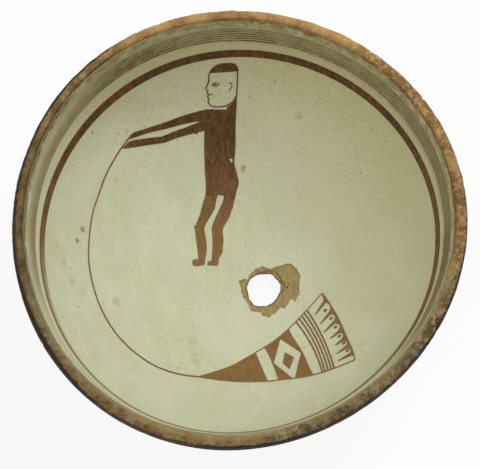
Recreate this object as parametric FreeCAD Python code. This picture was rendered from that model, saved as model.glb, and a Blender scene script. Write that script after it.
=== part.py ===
"""Painted hemispherical bowl of fired clay, with its white slip and its iron-brown paint.

Millimetres. The bowl stands on its foot at z = 0 with its mouth up, and its outline is centred on
the Z axis. The wall was built by hand, so it is a little out of round. The picture inside is given in
pixels of the photograph and carried onto the wall along the lines of sight from the eye point.
Each coat is a thin solid laid on the one below it.
"""
import FreeCAD, Part
import math
import os

Vector = FreeCAD.Vector

# Driving dimensions
SIZES = (
    # The bowl
    ("rim_radius", 120.7),
    ("rim_height", 105.0),
    ("lip_width", 6.35),
    ("lip_rise", 3.0),
    ("lip_shift", 0.9),
    ("wall_thickness", 6.6),
    ("floor_thickness", 6.0),
    ("foot_radius", 34.0),
    ("wall_flare", 0.5),
    ("inner_flare_depth", 14.0),
    ("outer_flare_depth", 34.0),
    # The coats
    ("slip_coat", 0.4),
    ("slip_stop", 2.2),
    ("paint_coat", 0.25),
    ("paint_clearance", 0.15),
    ("lip_paint_drop", 6.0),
    # The framing lines and the band, measured down from the rim
    ("line_depth", 10.6),
    ("line_spacing", 2.09),
    ("line_width", 0.8),
    ("line_dip", 1.5),
    ("band_depth", 28.7),
    ("band_width", 5.3),
    ("band_dip", 2.25),
    # The punched hole
    ("hole_flare", 1.6),
    ("chip_depth", 1.1),
    # Where the photograph was taken from
    ("eye_distance", 787.0),
    ("look_back", 8.8),
    ("pixel_size", 0.5245),
)

# Angles in degrees, and counts
VIEW_TILT = 17.0
LIP_SHIFT_AZIMUTH = 130.0
LINE_COUNT = 6
RING_POINTS = 24
WALL_STATIONS = 26
LIP_STATIONS = 5
COAT_STATIONS = 34

# How the wall departs from a circle, as shares of its radius: waves round the rim, share, azimuth
WALL_WAVE_SHARES = ((1, 0.0100, 154.3), (2, 0.0080, 54.3), (3, 0.0096, 7.8))

# The wall's section is a superellipse with this power, a little fuller than a quarter circle
WALL_POWER = 2.1

# How the painter's hand fell and rose round the wall: waves round the rim, share of the dip, azimuth
LINE_WAVE_SHARES = ((1, 1.0, 173.0),)
BAND_WAVE_SHARES = ((1, 1.0, 137.0), (2, 0.30, 119.0), (3, 0.38, 22.0))

# Inner and outer reach of the slices that take the painted lines out of the coat, as shares of the rim
WASH_REACH_SHARES = (0.6, 1.3)

# The flat disc at the middle of each dome, as a share of the foot
DOME_DISC_SHARE = 0.15

# Pixel coordinates of the photograph, x to the right and y down
PHOTO_CENTRE = (240.0, 234.5)

HOLE_OUTLINE = ((247.0, 285.9), (250.6, 278.8), (256.7, 275.2), (263.9, 273.9), (272.0, 274.7),
                (277.1, 279.8), (280.4, 284.9), (280.2, 291.0), (277.1, 298.2), (273.1, 302.8),
                (266.9, 305.8), (258.8, 306.3), (253.2, 304.8), (249.6, 299.2), (247.6, 292.0))
CHIP_OUTLINE = ((257.0, 273.6), (266.0, 270.6), (275.5, 271.2), (279.6, 276.2), (281.4, 280.6),
                (285.0, 283.2), (284.6, 288.6), (281.2, 293.0), (276.0, 296.0), (262.0, 290.0))
SPALL_OUTLINE = ((239.4, 280.8), (243.5, 278.6), (248.1, 279.8), (249.6, 275.2), (254.7, 269.6),
                 (262.9, 266.7), (270.0, 269.1), (277.1, 266.3), (281.2, 265.5), (285.3, 263.7),
                 (291.4, 264.5), (296.5, 268.1), (300.1, 275.7), (299.6, 284.9), (299.4, 294.1),
                 (295.5, 301.7), (291.4, 298.7), (289.4, 301.2), (285.3, 308.4), (280.2, 307.9),
                 (275.1, 313.0), (269.5, 317.8), (261.8, 316.0), (261.3, 312.7), (250.6, 311.4),
                 (249.6, 307.3), (245.5, 300.2), (241.9, 294.1), (240.4, 285.9))

# The figure: each outline is a chain of runs, and a run of more than two points is a curve
HAIR_RUNS = (((209.4, 73.2), (211.6, 68.7), (215.6, 65.5), (221.2, 63.6), (229.1, 63.1),
              (235.5, 64.4), (237.9, 67.6), (238.4, 71.2)),
             ((238.4, 71.2), (223.0, 72.4), (209.4, 73.2)))
HEAD_BACK = ((237.4, 71.0), (237.4, 80.0), (236.9, 90.0), (236.0, 101.0))
FACE_PROFILE = ((209.9, 72.6), (208.7, 77.0), (209.0, 81.0), (207.4, 85.4), (205.2, 88.8),
                (208.0, 90.3), (206.9, 92.6), (208.6, 94.5), (207.4, 96.6), (208.8, 98.8),
                (208.2, 102.4), (210.4, 105.6), (215.0, 107.0), (221.6, 106.8))
JAW_LINE = ((221.6, 106.8), (228.0, 105.0), (233.0, 101.4), (236.2, 96.0))
MOUTH_LINE = ((208.4, 94.5), (210.4, 94.7), (212.6, 94.3))
EAR_LINE = ((228.6, 84.0), (231.0, 83.2), (232.0, 85.6), (230.6, 88.6), (228.8, 90.2))
EYE_RUNS = (((211.4, 84.8), (215.0, 82.6), (219.6, 84.4)), ((219.6, 84.4), (215.4, 86.4), (211.4, 84.8)))
PUPIL_CENTRE = (215.0, 84.5)
BODY_RUNS = (((206.4, 109.4), (226.8, 109.8)),
             ((226.8, 109.8), (227.0, 106.9)),
             ((227.0, 106.9), (231.6, 104.0), (235.2, 100.0)),
             ((235.2, 100.0), (236.8, 100.4)),
             ((236.8, 100.4), (235.9, 118.0), (235.5, 133.0), (235.7, 143.0), (234.8, 155.0),
              (234.4, 165.0)),
             ((234.4, 165.0), (236.0, 170.0), (238.2, 179.0), (238.6, 183.4), (236.9, 189.6),
              (235.7, 195.0), (233.4, 204.0), (232.7, 208.4)),
             ((232.7, 208.4), (231.7, 209.2)),
             ((231.7, 209.2), (230.2, 215.0), (227.9, 220.2), (224.6, 225.2), (222.9, 228.6)),
             ((222.9, 228.6), (222.8, 232.0), (223.5, 239.0), (223.0, 246.0), (222.3, 253.0)),
             ((222.3, 253.0), (219.4, 257.8), (218.4, 260.4)),
             ((218.4, 260.4), (218.8, 262.4)),
             ((218.8, 262.4), (217.4, 265.6)),
             ((217.4, 265.6), (211.0, 265.5), (207.3, 264.9)),
             ((207.3, 264.9), (207.7, 261.4)),
             ((207.7, 261.4), (211.6, 260.4)),
             ((211.6, 260.4), (212.3, 250.0), (212.6, 240.0), (211.9, 232.0), (212.2, 225.6)),
             ((212.2, 225.6), (214.4, 220.0), (218.9, 210.0), (221.6, 204.6), (224.0, 195.8)),
             ((224.0, 195.8), (218.2, 194.8)),
             ((218.2, 194.8), (216.4, 199.6), (215.6, 205.0)),
             ((215.6, 205.0), (211.4, 215.0), (207.9, 220.4), (204.9, 226.6), (204.1, 229.8)),
             ((204.1, 229.8), (205.3, 235.4), (206.6, 244.0), (206.7, 250.0), (205.3, 260.0),
              (204.6, 264.6)),
             ((204.6, 264.6), (200.2, 265.8), (195.2, 266.0), (192.5, 264.8)),
             ((192.5, 264.8), (192.5, 260.6)),
             ((192.5, 260.6), (194.4, 259.5), (198.4, 259.5)),
             ((198.4, 259.5), (198.1, 256.0), (197.2, 247.0), (195.8, 237.0), (195.0, 229.6)),
             ((195.0, 229.6), (193.9, 225.9)),
             ((193.9, 225.9), (196.1, 225.0)),
             ((196.1, 225.0), (197.7, 220.0), (199.8, 214.6), (202.2, 205.4), (205.5, 196.4)),
             ((205.5, 196.4), (205.8, 190.0), (204.9, 171.0), (204.3, 150.0), (204.4, 130.9)),
             ((204.4, 130.9), (198.2, 132.3)),
             ((198.2, 132.3), (196.8, 134.5)),
             ((196.8, 134.5), (194.0, 133.2)),
             ((194.0, 133.2), (186.1, 135.5), (178.0, 137.8), (168.0, 141.5), (163.2, 143.0)),
             ((163.2, 143.0), (152.0, 144.6), (140.0, 146.4), (130.0, 148.0), (123.6, 148.8)),
             ((123.6, 148.8), (122.6, 148.0)),
             ((122.6, 148.0), (127.8, 142.4)),
             ((127.8, 142.4), (133.0, 140.5), (139.9, 139.3), (152.6, 137.6), (161.0, 136.9)),
             ((161.0, 136.9), (168.0, 134.0), (178.0, 130.0)),
             ((178.0, 130.0), (186.0, 127.4), (193.0, 124.6), (200.4, 121.6)),
             ((200.4, 121.6), (195.0, 121.9), (188.0, 123.2), (179.7, 125.2), (163.8, 129.5),
              (149.4, 132.7), (138.3, 136.4), (130.4, 138.9)),
             ((130.4, 138.9), (128.8, 138.8)),
             ((128.8, 138.8), (130.6, 135.0)),
             ((130.6, 135.0), (133.6, 132.6)),
             ((133.6, 132.6), (138.4, 131.0), (149.0, 127.6), (158.0, 124.8), (163.2, 122.9),
              (168.2, 121.3), (176.5, 118.1), (189.3, 113.9), (206.4, 109.4)))

# Where the body's paint has flaked off the small of the back
BACK_CHIP = ((229.0, 159.4), (230.4, 158.3), (232.3, 158.8), (232.5, 161.0), (231.7, 163.2), (230.9, 162.2),
             (230.3, 160.7))

# The long curved line that the figure holds, and the banded fan at its end
STAFF_LINE = ((130.4, 136.4), (126.6, 141.2), (123.2, 145.6), (119.4, 151.2), (111.0, 165.2),
              (105.0, 177.4), (98.7, 195.0), (94.1, 208.6), (91.0, 223.3), (89.3, 239.4), (88.6, 253.8),
              (89.9, 269.1), (93.0, 284.4), (98.7, 302.2), (107.1, 319.6), (118.4, 336.0),
              (130.6, 348.6), (142.2, 357.7), (152.9, 364.5), (165.9, 370.2), (179.7, 374.0),
              (195.0, 376.2), (201.0, 376.6))
FAN_TOP_EDGE = ((199.0, 375.9), (220.0, 369.6), (233.3, 364.5), (248.6, 355.9), (264.3, 347.3),
                (281.2, 335.3), (295.5, 321.9), (309.2, 307.4), (322.0, 292.9))
FAN_LOW_EDGE = ((199.0, 377.0), (220.0, 380.3), (235.3, 381.6), (255.7, 381.9), (274.0, 380.4),
                (293.5, 378.2), (313.9, 374.5), (335.3, 367.6), (355.0, 359.5))
WEDGE_RUNS = ((FAN_TOP_EDGE[0], FAN_TOP_EDGE[1], FAN_TOP_EDGE[2], FAN_TOP_EDGE[3], (255.7, 352.2)),
              ((255.7, 352.2), (267.8, 381.3)),
              ((267.8, 381.3), (255.7, 381.9), (235.3, 381.6), (220.0, 380.3), (199.0, 377.0)),
              ((199.0, 377.0), FAN_TOP_EDGE[0]))
PANEL_RUNS = (((264.1, 347.3), (275.3, 340.0), (281.4, 335.4), (288.6, 328.6)),
              ((288.6, 328.6), (291.6, 334.6), (295.2, 340.2), (301.4, 350.0), (304.4, 355.6),
               (308.2, 364.6), (313.8, 374.6)),
              ((313.8, 374.6), (304.0, 376.5), (293.5, 378.2), (279.0, 379.9)),
              ((279.0, 379.9), (275.2, 370.6), (271.2, 360.4), (264.1, 347.3)))
PANEL_WINDOW = ((280.3, 338.9), (300.9, 352.4), (300.7, 354.0), (297.6, 366.4), (294.6, 379.6),
                (273.7, 362.9))
CENTRE_DIAMOND = ((285.0, 352.2), (294.2, 357.5), (289.4, 369.1), (282.5, 362.6))
FINE_LINE_RUNS = (((295.9, 321.6), (312.4, 346.6), (322.3, 371.6)),
                  ((299.0, 318.5), (315.2, 344.2), (324.8, 370.9)),
                  ((301.7, 315.8), (318.0, 342.4), (328.0, 369.8)),
                  ((304.4, 313.1), (320.7, 340.3), (331.1, 368.8)),
                  ((307.3, 310.6), (323.2, 338.3), (334.1, 367.9)))
FRINGE_OUTER = ((322.0, 292.6), (325.9, 297.0), (330.8, 304.4), (337.4, 315.3), (343.5, 328.6),
                (348.3, 339.5), (352.6, 349.2), (355.4, 359.2))
FRINGE_START = (321.6, 293.6)
FRINGE_TEETH = (((325.0, 301.4), (315.0, 314.7)), ((329.8, 313.1), (320.2, 323.8)),
                ((334.4, 322.0), (323.8, 332.3)), ((339.3, 331.4), (330.2, 338.3)),
                ((343.3, 339.3), (335.3, 345.0)), ((347.2, 346.4), (336.5, 353.5)),
                ((350.8, 353.9), (338.3, 360.5)))
FRINGE_BAYS = ((330.0, 306.6), (334.9, 316.0), (339.5, 325.0), (342.4, 333.5), (346.6, 341.4),
               (350.4, 349.2))
FRINGE_END = (354.2, 359.0)
FRINGE_DOTS = ((325.3, 310.2), (330.9, 318.2), (335.5, 326.9), (339.5, 335.9), (343.8, 342.9),
               (347.4, 350.3))

# Widths and lengths of brush marks, in pixels of the photograph
FACE_STROKE_PIXELS = 1.25
EYE_STROKE_PIXELS = 0.8
PUPIL_RADIUS_PIXELS = 0.85
STAFF_STROKE_PIXELS = 1.3
FINE_STROKE_PIXELS = 1.6
EDGE_STROKE_PIXELS = 1.0
TOOTH_ROOT_PIXELS = 3.2
TOOTH_TIP_PIXELS = 0.9
DOT_LENGTH_PIXELS = 4.0
DOT_WIDTH_PIXELS = 2.6
DOT_LEAN = 35.0

doc = FreeCAD.newDocument("painted_bowl")
sheet = doc.addObject("Spreadsheet::Sheet", "sizes")


def fill_sheet():
    for row, (name, value) in enumerate(SIZES, start=1):
        sheet.set("A%d" % row, name)
        sheet.set("B%d" % row, str(value))
        sheet.setAlias("B%d" % row, name)
    doc.recompute()


def size(name):
    return float(sheet.get(name))


def feature(name, shape):
    made = doc.addObject("Part::Feature", name)
    made.Shape = shape
    return made


def boolean(kind, name, base, tool):
    made = doc.addObject(kind, name)
    made.Base = base
    made.Tool = tool
    return made


# The hand-built wall: one section turned round a curve that is not quite a circle

def unit_ring():
    """The closed curve that the wall follows round the axis, at a radius of 1."""
    points = []
    for step in range(RING_POINTS):
        azimuth = 2.0 * math.pi * step / RING_POINTS
        reach = 1.0
        for waves, share, crest in WALL_WAVE_SHARES:
            reach += share * math.cos(waves * (azimuth - math.radians(crest)))
        points.append(Vector(reach * math.cos(azimuth), reach * math.sin(azimuth), 0.0))
    even = [float(step) for step in range(RING_POINTS + 1)]
    curve = Part.BSplineCurve()
    curve.interpolate(Points=points, PeriodicFlag=True, Parameters=even)
    return curve


def turned_face(section):
    """Face swept by a section whose points hold radius, sideways shift and height."""
    round_curve = unit_ring()
    shift_turn = math.radians(LIP_SHIFT_AZIMUTH)
    poles = []
    for around in round_curve.getPoles():
        poles.append([Vector(place.x * around.x + place.y * math.cos(shift_turn),
                             place.x * around.y + place.y * math.sin(shift_turn),
                             place.z) for place in section.getPoles()])
    surface = Part.BSplineSurface()
    surface.buildFromPolesMultsKnots(poles, round_curve.getMultiplicities(), section.getMultiplicities(),
                                     round_curve.getKnots(), section.getKnots(),
                                     True, False, round_curve.Degree, section.Degree)
    return surface.toShape()


def disc_face(section, parameter):
    """Level face across the ring at one end of a section."""
    face = turned_face(section)
    height = section.value(parameter).z
    for edge in face.Edges:
        box = edge.BoundBox
        if edge.isClosed() and abs(box.ZMin - height) < 1e-6 and box.ZLength < 1e-6:
            return Part.Face(Part.Wire([edge]))
    raise RuntimeError("a section has no level end at %.3f" % height)


def closed_solid(faces):
    shell = Part.makeShell(faces)
    shell.sewShape()
    solid = Part.makeSolid(shell)
    if solid.Volume < 0.0:
        solid.reverse()
    return solid


def smooth_section(stations):
    curve = Part.BSplineCurve()
    curve.interpolate(stations)
    return curve


def straight_section(start, end):
    return Part.LineSegment(start, end).toBSpline()


def dome_point(angle, half_width, bottom, mouth_radius, flare_depth):
    """Radius and height on a dome's section, at angle radians from its middle to its mouth."""
    power = 2.0 / WALL_POWER
    radius = half_width * math.sin(angle) ** power
    height = bottom + (size("rim_height") - bottom) * (1.0 - math.cos(angle) ** power)
    below_lip = size("rim_height") - size("lip_rise") - height
    rise = max(0.0, 1.0 - below_lip / flare_depth)
    return radius + (mouth_radius - half_width) * rise ** 2, height


def dome_stations(half_width, bottom, mouth_radius, flare_depth, first_radius, shift):
    """Stations of a dome's section from first_radius up to the foot of the lip."""
    first = math.asin((first_radius / half_width) ** (WALL_POWER / 2.0))
    lip_foot_share = size("lip_rise") / (size("rim_height") - bottom)
    last = math.acos(lip_foot_share ** (WALL_POWER / 2.0))
    stations = []
    for step in range(WALL_STATIONS):
        angle = first + (last - first) * step / (WALL_STATIONS - 1)
        radius, height = dome_point(angle, half_width, bottom, mouth_radius, flare_depth)
        stations.append(Vector(radius, shift * radius / mouth_radius, height))
    return stations


def clay_section():
    """The clay's whole section, from the foot up the outside, over the lip and down to the floor."""
    mouth = size("rim_radius") - size("lip_width")
    half_width = mouth - size("wall_flare")
    outer_half_width = half_width + size("wall_thickness")
    foot_share = (1.0 - (size("foot_radius") / outer_half_width) ** WALL_POWER) ** (1.0 / WALL_POWER)
    outer_bottom = size("rim_height") * (1.0 - 1.0 / foot_share)
    disc = size("foot_radius") * DOME_DISC_SHARE
    outside = dome_stations(outer_half_width, outer_bottom, size("rim_radius"), size("outer_flare_depth"),
                            size("foot_radius"), 0.0)
    inside = dome_stations(half_width, size("floor_thickness"), mouth, size("inner_flare_depth"),
                           disc, size("lip_shift"))
    outside[0].z = 0.0
    middle = (outside[-1].x + inside[-1].x) / 2.0
    reach = (outside[-1].x - inside[-1].x) / 2.0
    lip = []
    for step in range(1, LIP_STATIONS + 1):
        turn = math.pi * step / (LIP_STATIONS + 1)
        lip.append(Vector(middle + reach * math.cos(turn), inside[-1].y * step / (LIP_STATIONS + 1),
                          outside[-1].z + size("lip_rise") * math.sin(turn)))
    return smooth_section(outside + lip + inside[::-1])


def height_parameter(section, height, start, end):
    """Where a section passes a height, looked for between two of its parameters."""
    rising = section.value(end).z > section.value(start).z
    low, high = start, end
    for _ in range(60):
        middle = (low + high) / 2.0
        if (section.value(middle).z < height) == rising:
            low = middle
        else:
            high = middle
    return (low + high) / 2.0


def crest_parameter(section):
    """Where a section is highest: the crest of the lip."""
    first, last = section.FirstParameter, section.LastParameter
    for _ in range(60):
        third = (last - first) / 3.0
        if section.value(first + third).z < section.value(last - third).z:
            first += third
        else:
            last -= third
    return (first + last) / 2.0


def part_of(section, start, end):
    piece = section.copy()
    piece.segment(start, end)
    return piece


def raised(section, coat):
    """The section of a coat's free face: the one under it, moved out of the clay by the coat. Its
    ends stay at the heights of the section's own ends."""
    first, last = section.FirstParameter, section.LastParameter
    stations = []
    for step in range(COAT_STATIONS):
        parameter = first + (last - first) * step / (COAT_STATIONS - 1)
        place = section.value(parameter)
        along = section.tangent(parameter)[0]
        length = math.hypot(along.x, along.z)
        height = place.z if step == 0 else place.z - coat * along.x / length
        stations.append(Vector(place.x + coat * along.z / length, place.y, height))
    return stations


def bowl_sections():
    """The clay's section, its parts under the lip paint and under the slip, the free face of the slip,
    and both faces of the paint on it."""
    clay = clay_section()
    crest = crest_parameter(clay)
    stop = height_parameter(clay, size("rim_height") - size("slip_stop"), crest, clay.LastParameter)
    drop = height_parameter(clay, size("rim_height") - size("lip_paint_drop"), clay.FirstParameter, crest)
    under_slip = part_of(clay, stop, clay.LastParameter)
    under_lip = part_of(clay, drop, stop)
    slip_face = smooth_section(raised(under_slip, size("slip_coat")))
    paint_start = size("slip_coat") + size("paint_clearance")
    paint_back = smooth_section(raised(under_slip, paint_start))
    paint_face = smooth_section(raised(under_slip, paint_start + size("paint_coat")))
    return clay, under_lip, under_slip, slip_face, paint_back, paint_face


def clay_blank(clay):
    return closed_solid([turned_face(clay), disc_face(clay, clay.FirstParameter),
                         disc_face(clay, clay.LastParameter)])


def coat_blank(under, free):
    """Bowl-shaped coat between two sections that start level with each other under the lip."""
    start = straight_section(under.value(under.FirstParameter), free.value(free.FirstParameter))
    return closed_solid([turned_face(under), turned_face(free), turned_face(start),
                         disc_face(under, under.LastParameter), disc_face(free, free.LastParameter)])


def lip_coat(under):
    """The paint over the lip, level at its end outside and level with the slip at its end inside."""
    stations = raised(under, size("paint_coat"))
    stations[-1].z = under.value(under.LastParameter).z
    free = smooth_section(stations)
    start = straight_section(under.value(under.FirstParameter), stations[0])
    end = straight_section(under.value(under.LastParameter), stations[-1])
    return closed_solid([turned_face(under), turned_face(free), turned_face(start), turned_face(end)])


def wash_ring(dip, wave_shares):
    """Round curve at a radius of 1 that rises and falls by the dip. It starts half a step round."""
    points = []
    for step in range(RING_POINTS):
        azimuth = 2.0 * math.pi * (step + 0.5) / RING_POINTS
        fall = sum(share * math.cos(waves * (azimuth - math.radians(crest)))
                   for waves, share, crest in wave_shares)
        points.append(Vector(math.cos(azimuth), math.sin(azimuth), -dip * fall))
    even = [float(step) for step in range(RING_POINTS + 1)]
    curve = Part.BSplineCurve()
    curve.interpolate(Points=points, PeriodicFlag=True, Parameters=even)
    return curve


def wash(depth, width, dip, wave_shares):
    """Slice that takes one painted line out of the coat, depth below the rim on average."""
    ring = wash_ring(dip, wave_shares)
    top = size("rim_height") - depth
    near, far = (share * size("rim_radius") for share in WASH_REACH_SHARES)
    corners = ((near, top - width), (far, top - width), (far, top), (near, top))
    faces = []
    for start, end in zip(corners, corners[1:] + corners[:1]):
        poles = [[Vector(place.x * reach, place.y * reach, place.z + height)
                  for reach, height in (start, end)] for place in ring.getPoles()]
        surface = Part.BSplineSurface()
        surface.buildFromPolesMultsKnots(poles, ring.getMultiplicities(), (2, 2), ring.getKnots(), (0.0, 1.0),
                                         True, False, ring.Degree, 1)
        faces.append(surface.toShape())
    return closed_solid(faces)


# Lines of sight through the photograph

def sight_axes():
    tilt = math.radians(VIEW_TILT)
    forward = Vector(0.0, math.sin(tilt), -math.cos(tilt))
    upward = Vector(0.0, math.cos(tilt), math.sin(tilt))
    look = Vector(0.0, -size("look_back"), size("rim_height"))
    return look, forward, upward


def on_picture(pixel):
    """The point of a pixel on the picture plane, which passes through the point looked at."""
    look, forward, upward = sight_axes()
    across = (pixel[0] - PHOTO_CENTRE[0]) * size("pixel_size")
    up = (PHOTO_CENTRE[1] - pixel[1]) * size("pixel_size")
    return look + Vector(across, 0.0, 0.0) + upward * up


def outline(runs):
    """Closed wire on the picture plane: a run of two points is a straight line, a longer one a curve."""
    edges = []
    for run in runs:
        points = [on_picture(pixel) for pixel in run]
        if len(points) == 2:
            edges.append(Part.makeLine(points[0], points[1]))
        else:
            curve = Part.BSplineCurve()
            curve.interpolate(points)
            edges.append(curve.toShape())
    return Part.Wire(edges)


def polygon(points):
    ends = list(points[1:]) + [points[0]]
    return outline(list(zip(points, ends)))


def stroke(points, start_width, end_width=None, curved=True):
    """Outline of a brush stroke along points, in pixels, as wide as given at its two ends."""
    end_width = start_width if end_width is None else end_width
    left = []
    right = []
    last = len(points) - 1
    for index, (x, y) in enumerate(points):
        before = points[max(index - 1, 0)]
        after = points[min(index + 1, last)]
        along = math.hypot(after[0] - before[0], after[1] - before[1])
        side = ((after[1] - before[1]) / along, -(after[0] - before[0]) / along)
        half = (start_width + (end_width - start_width) * index / last) / 2.0
        left.append((x + side[0] * half, y + side[1] * half))
        right.append((x - side[0] * half, y - side[1] * half))
    right.reverse()
    if curved and len(points) > 2:
        return outline([left, (left[-1], right[0]), right, (right[-1], left[0])])
    return polygon(left + right)


def ellipse(centre, length, width, lean):
    """Outline of a dab of the brush, in pixels, with its length leaning by lean degrees."""
    points = []
    for step in range(8):
        turn = math.pi * step / 4.0
        along = length / 2.0 * math.cos(turn)
        across = width / 2.0 * math.sin(turn)
        tilt = math.radians(lean)
        points.append((centre[0] + along * math.cos(tilt) - across * math.sin(tilt),
                       centre[1] - along * math.sin(tilt) - across * math.cos(tilt)))
    curve = Part.BSplineCurve()
    curve.interpolate(Points=[on_picture(point) for point in points], PeriodicFlag=True)
    return Part.Wire([curve.toShape()])


def sight_cone(wire):
    """All that the eye sees through an outline, from above the rim to below the foot."""
    look, forward, upward = sight_axes()
    distance = size("eye_distance")
    eye = look - forward * distance
    near = 1.0 - size("rim_radius") / 2.0 / distance
    far = 1.0 + (size("rim_height") + size("rim_radius") / 2.0) / distance
    ends = [wire.scaled(near, eye), wire.scaled(far, eye)]
    solid = Part.makeLoft(ends, True, True)
    if solid.Volume < 0.0:
        solid.reverse()
    return solid


def sight_cones(wires):
    """The cones of several outlines as one tool, joined where they overlap."""
    cones = [sight_cone(wire) for wire in wires]
    if len(cones) == 1:
        return cones[0]
    return cones[0].multiFuse(cones[1:])


# The clay and its coats

def hole_cone():
    """The punched hole: the cone of sight through its outline, flaring out from just under the inner
    face of the floor, as a hole does that is knocked through from inside."""
    look, forward, upward = sight_axes()
    distance = size("eye_distance")
    slope = math.cos(math.radians(VIEW_TILT))
    wire = polygon(HOLE_OUTLINE)
    starts = (size("rim_height") - size("floor_thickness")) * slope
    ends = (size("rim_height") + size("floor_thickness")) * slope
    upper = wire.scaled(1.0 + starts / distance, look - forward * distance)
    lower = wire.scaled(1.0 + ends / distance, look - forward * distance)
    box = lower.BoundBox
    widening = 1.0 + 2.0 * size("hole_flare") / (box.XLength / 2.0)
    flare = Part.makeLoft([upper, lower.scaled(widening, box.Center)], True, True)
    return sight_cone(wire).fuse(flare)


def make_clay(blank, sections):
    """Fired clay wall with the punched hole, wider on the outside, and the chip beside it."""
    under_slip, slip_face = sections[2:4]
    chip_section = smooth_section(raised(under_slip, -size("chip_depth")))
    chip_zone = feature("chip_zone", coat_blank(chip_section, slip_face))
    chip_sight = feature("chip_sight", sight_cone(polygon(CHIP_OUTLINE)))
    chip_tool = boolean("Part::Common", "chip_tool", chip_zone, chip_sight)
    punched = boolean("Part::Cut", "punched_clay", blank, feature("hole_tool", hole_cone()))
    return boolean("Part::Cut", "clay_body", punched, chip_tool)


def make_slip(sections):
    """White slip, from the stop line under the lip down to the broken edge round the hole."""
    under_slip, slip_face = sections[2:4]
    blank = feature("slip_blank", coat_blank(under_slip, slip_face))
    spall = feature("spall_sight", sight_cone(polygon(SPALL_OUTLINE)))
    return boolean("Part::Cut", "interior_slip", blank, spall)


def painted(name, coat, tool_shape):
    """One painted element: the part of the paint coat inside a tool."""
    return boolean("Part::Common", name, coat, feature(name + "_tool", tool_shape))


def framing_tools():
    lines = []
    for number in range(LINE_COUNT):
        depth = size("line_depth") + size("line_spacing") * number
        lines.append(wash(depth, size("line_width"), size("line_dip"), LINE_WAVE_SHARES))
    band = wash(size("band_depth"), size("band_width"), size("band_dip"), BAND_WAVE_SHARES)
    return Part.makeCompound(lines), band


def eye_outline():
    """The almond of the eye as a thin line: its outline less the same outline shrunk."""
    outer = sight_cone(outline(EYE_RUNS))
    middle = ((EYE_RUNS[0][0][0] + EYE_RUNS[0][-1][0]) / 2.0, PUPIL_CENTRE[1])
    half_length = (EYE_RUNS[0][-1][0] - EYE_RUNS[0][0][0]) / 2.0
    half_height = (EYE_RUNS[1][1][1] - EYE_RUNS[0][1][1]) / 2.0
    shrink = (1.0 - 2.0 * EYE_STROKE_PIXELS / half_length, 1.0 - EYE_STROKE_PIXELS / half_height)
    runs = []
    for run in EYE_RUNS:
        runs.append([(middle[0] + (x - middle[0]) * shrink[0],
                      middle[1] + (y - middle[1]) * shrink[1]) for x, y in run])
    return outer.cut(sight_cone(outline(runs)))


def fringe_outline():
    """The dark band at the fan's end, with an arched bay between each pair of its teeth."""
    runs = [FRINGE_OUTER, (FRINGE_OUTER[-1], FRINGE_END)]
    here = FRINGE_END
    for index in range(len(FRINGE_TEETH) - 1, -1, -1):
        root, tip = FRINGE_TEETH[index]
        slope = math.hypot(root[0] - tip[0], root[1] - tip[1])
        side = ((root[1] - tip[1]) / slope, -(root[0] - tip[0]) / slope)
        half = TOOTH_ROOT_PIXELS / 2.0
        low = (root[0] - side[0] * half, root[1] - side[1] * half)
        high = (root[0] + side[0] * half, root[1] + side[1] * half)
        if index == len(FRINGE_TEETH) - 1:
            runs.append((here, ((here[0] + low[0]) / 2.0, (here[1] + low[1]) / 2.0 - half), low))
        else:
            runs.append((here, FRINGE_BAYS[index], low))
        tip_low = (tip[0] - side[0] * TOOTH_TIP_PIXELS / 2.0, tip[1] - side[1] * TOOTH_TIP_PIXELS / 2.0)
        tip_high = (tip[0] + side[0] * TOOTH_TIP_PIXELS / 2.0, tip[1] + side[1] * TOOTH_TIP_PIXELS / 2.0)
        runs += [(low, tip_low), (tip_low, tip_high), (tip_high, high)]
        here = high
    runs += [(here, FRINGE_START), (FRINGE_START, FRINGE_OUTER[0])]
    return outline(runs)


def make_figure(coat):
    body = sight_cone(outline(BODY_RUNS)).cut(sight_cone(polygon(BACK_CHIP)))
    hair = sight_cone(outline(HAIR_RUNS))
    face = sight_cones([stroke(FACE_PROFILE, FACE_STROKE_PIXELS, curved=False),
                        stroke(JAW_LINE, FACE_STROKE_PIXELS),
                        stroke(HEAD_BACK, FACE_STROKE_PIXELS)]).cut([body, hair])
    pupil = ellipse(PUPIL_CENTRE, 2.0 * PUPIL_RADIUS_PIXELS, 2.0 * PUPIL_RADIUS_PIXELS, 0.0)
    wedge = sight_cone(outline(WEDGE_RUNS))
    staff = sight_cone(stroke(STAFF_LINE, STAFF_STROKE_PIXELS)).cut([body, wedge])
    return [
        painted("figure_body", coat, body),
        painted("figure_hair", coat, hair),
        painted("figure_face_line", coat, face),
        painted("figure_mouth_line", coat, sight_cone(stroke(MOUTH_LINE, EYE_STROKE_PIXELS)).cut(face)),
        painted("figure_ear_line", coat, sight_cone(stroke(EAR_LINE, EYE_STROKE_PIXELS))),
        painted("figure_eye_line", coat, eye_outline()),
        painted("figure_pupil", coat, sight_cone(pupil)),
        painted("staff_line", coat, staff),
        painted("fan_tip_wedge", coat, wedge),
    ]


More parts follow.
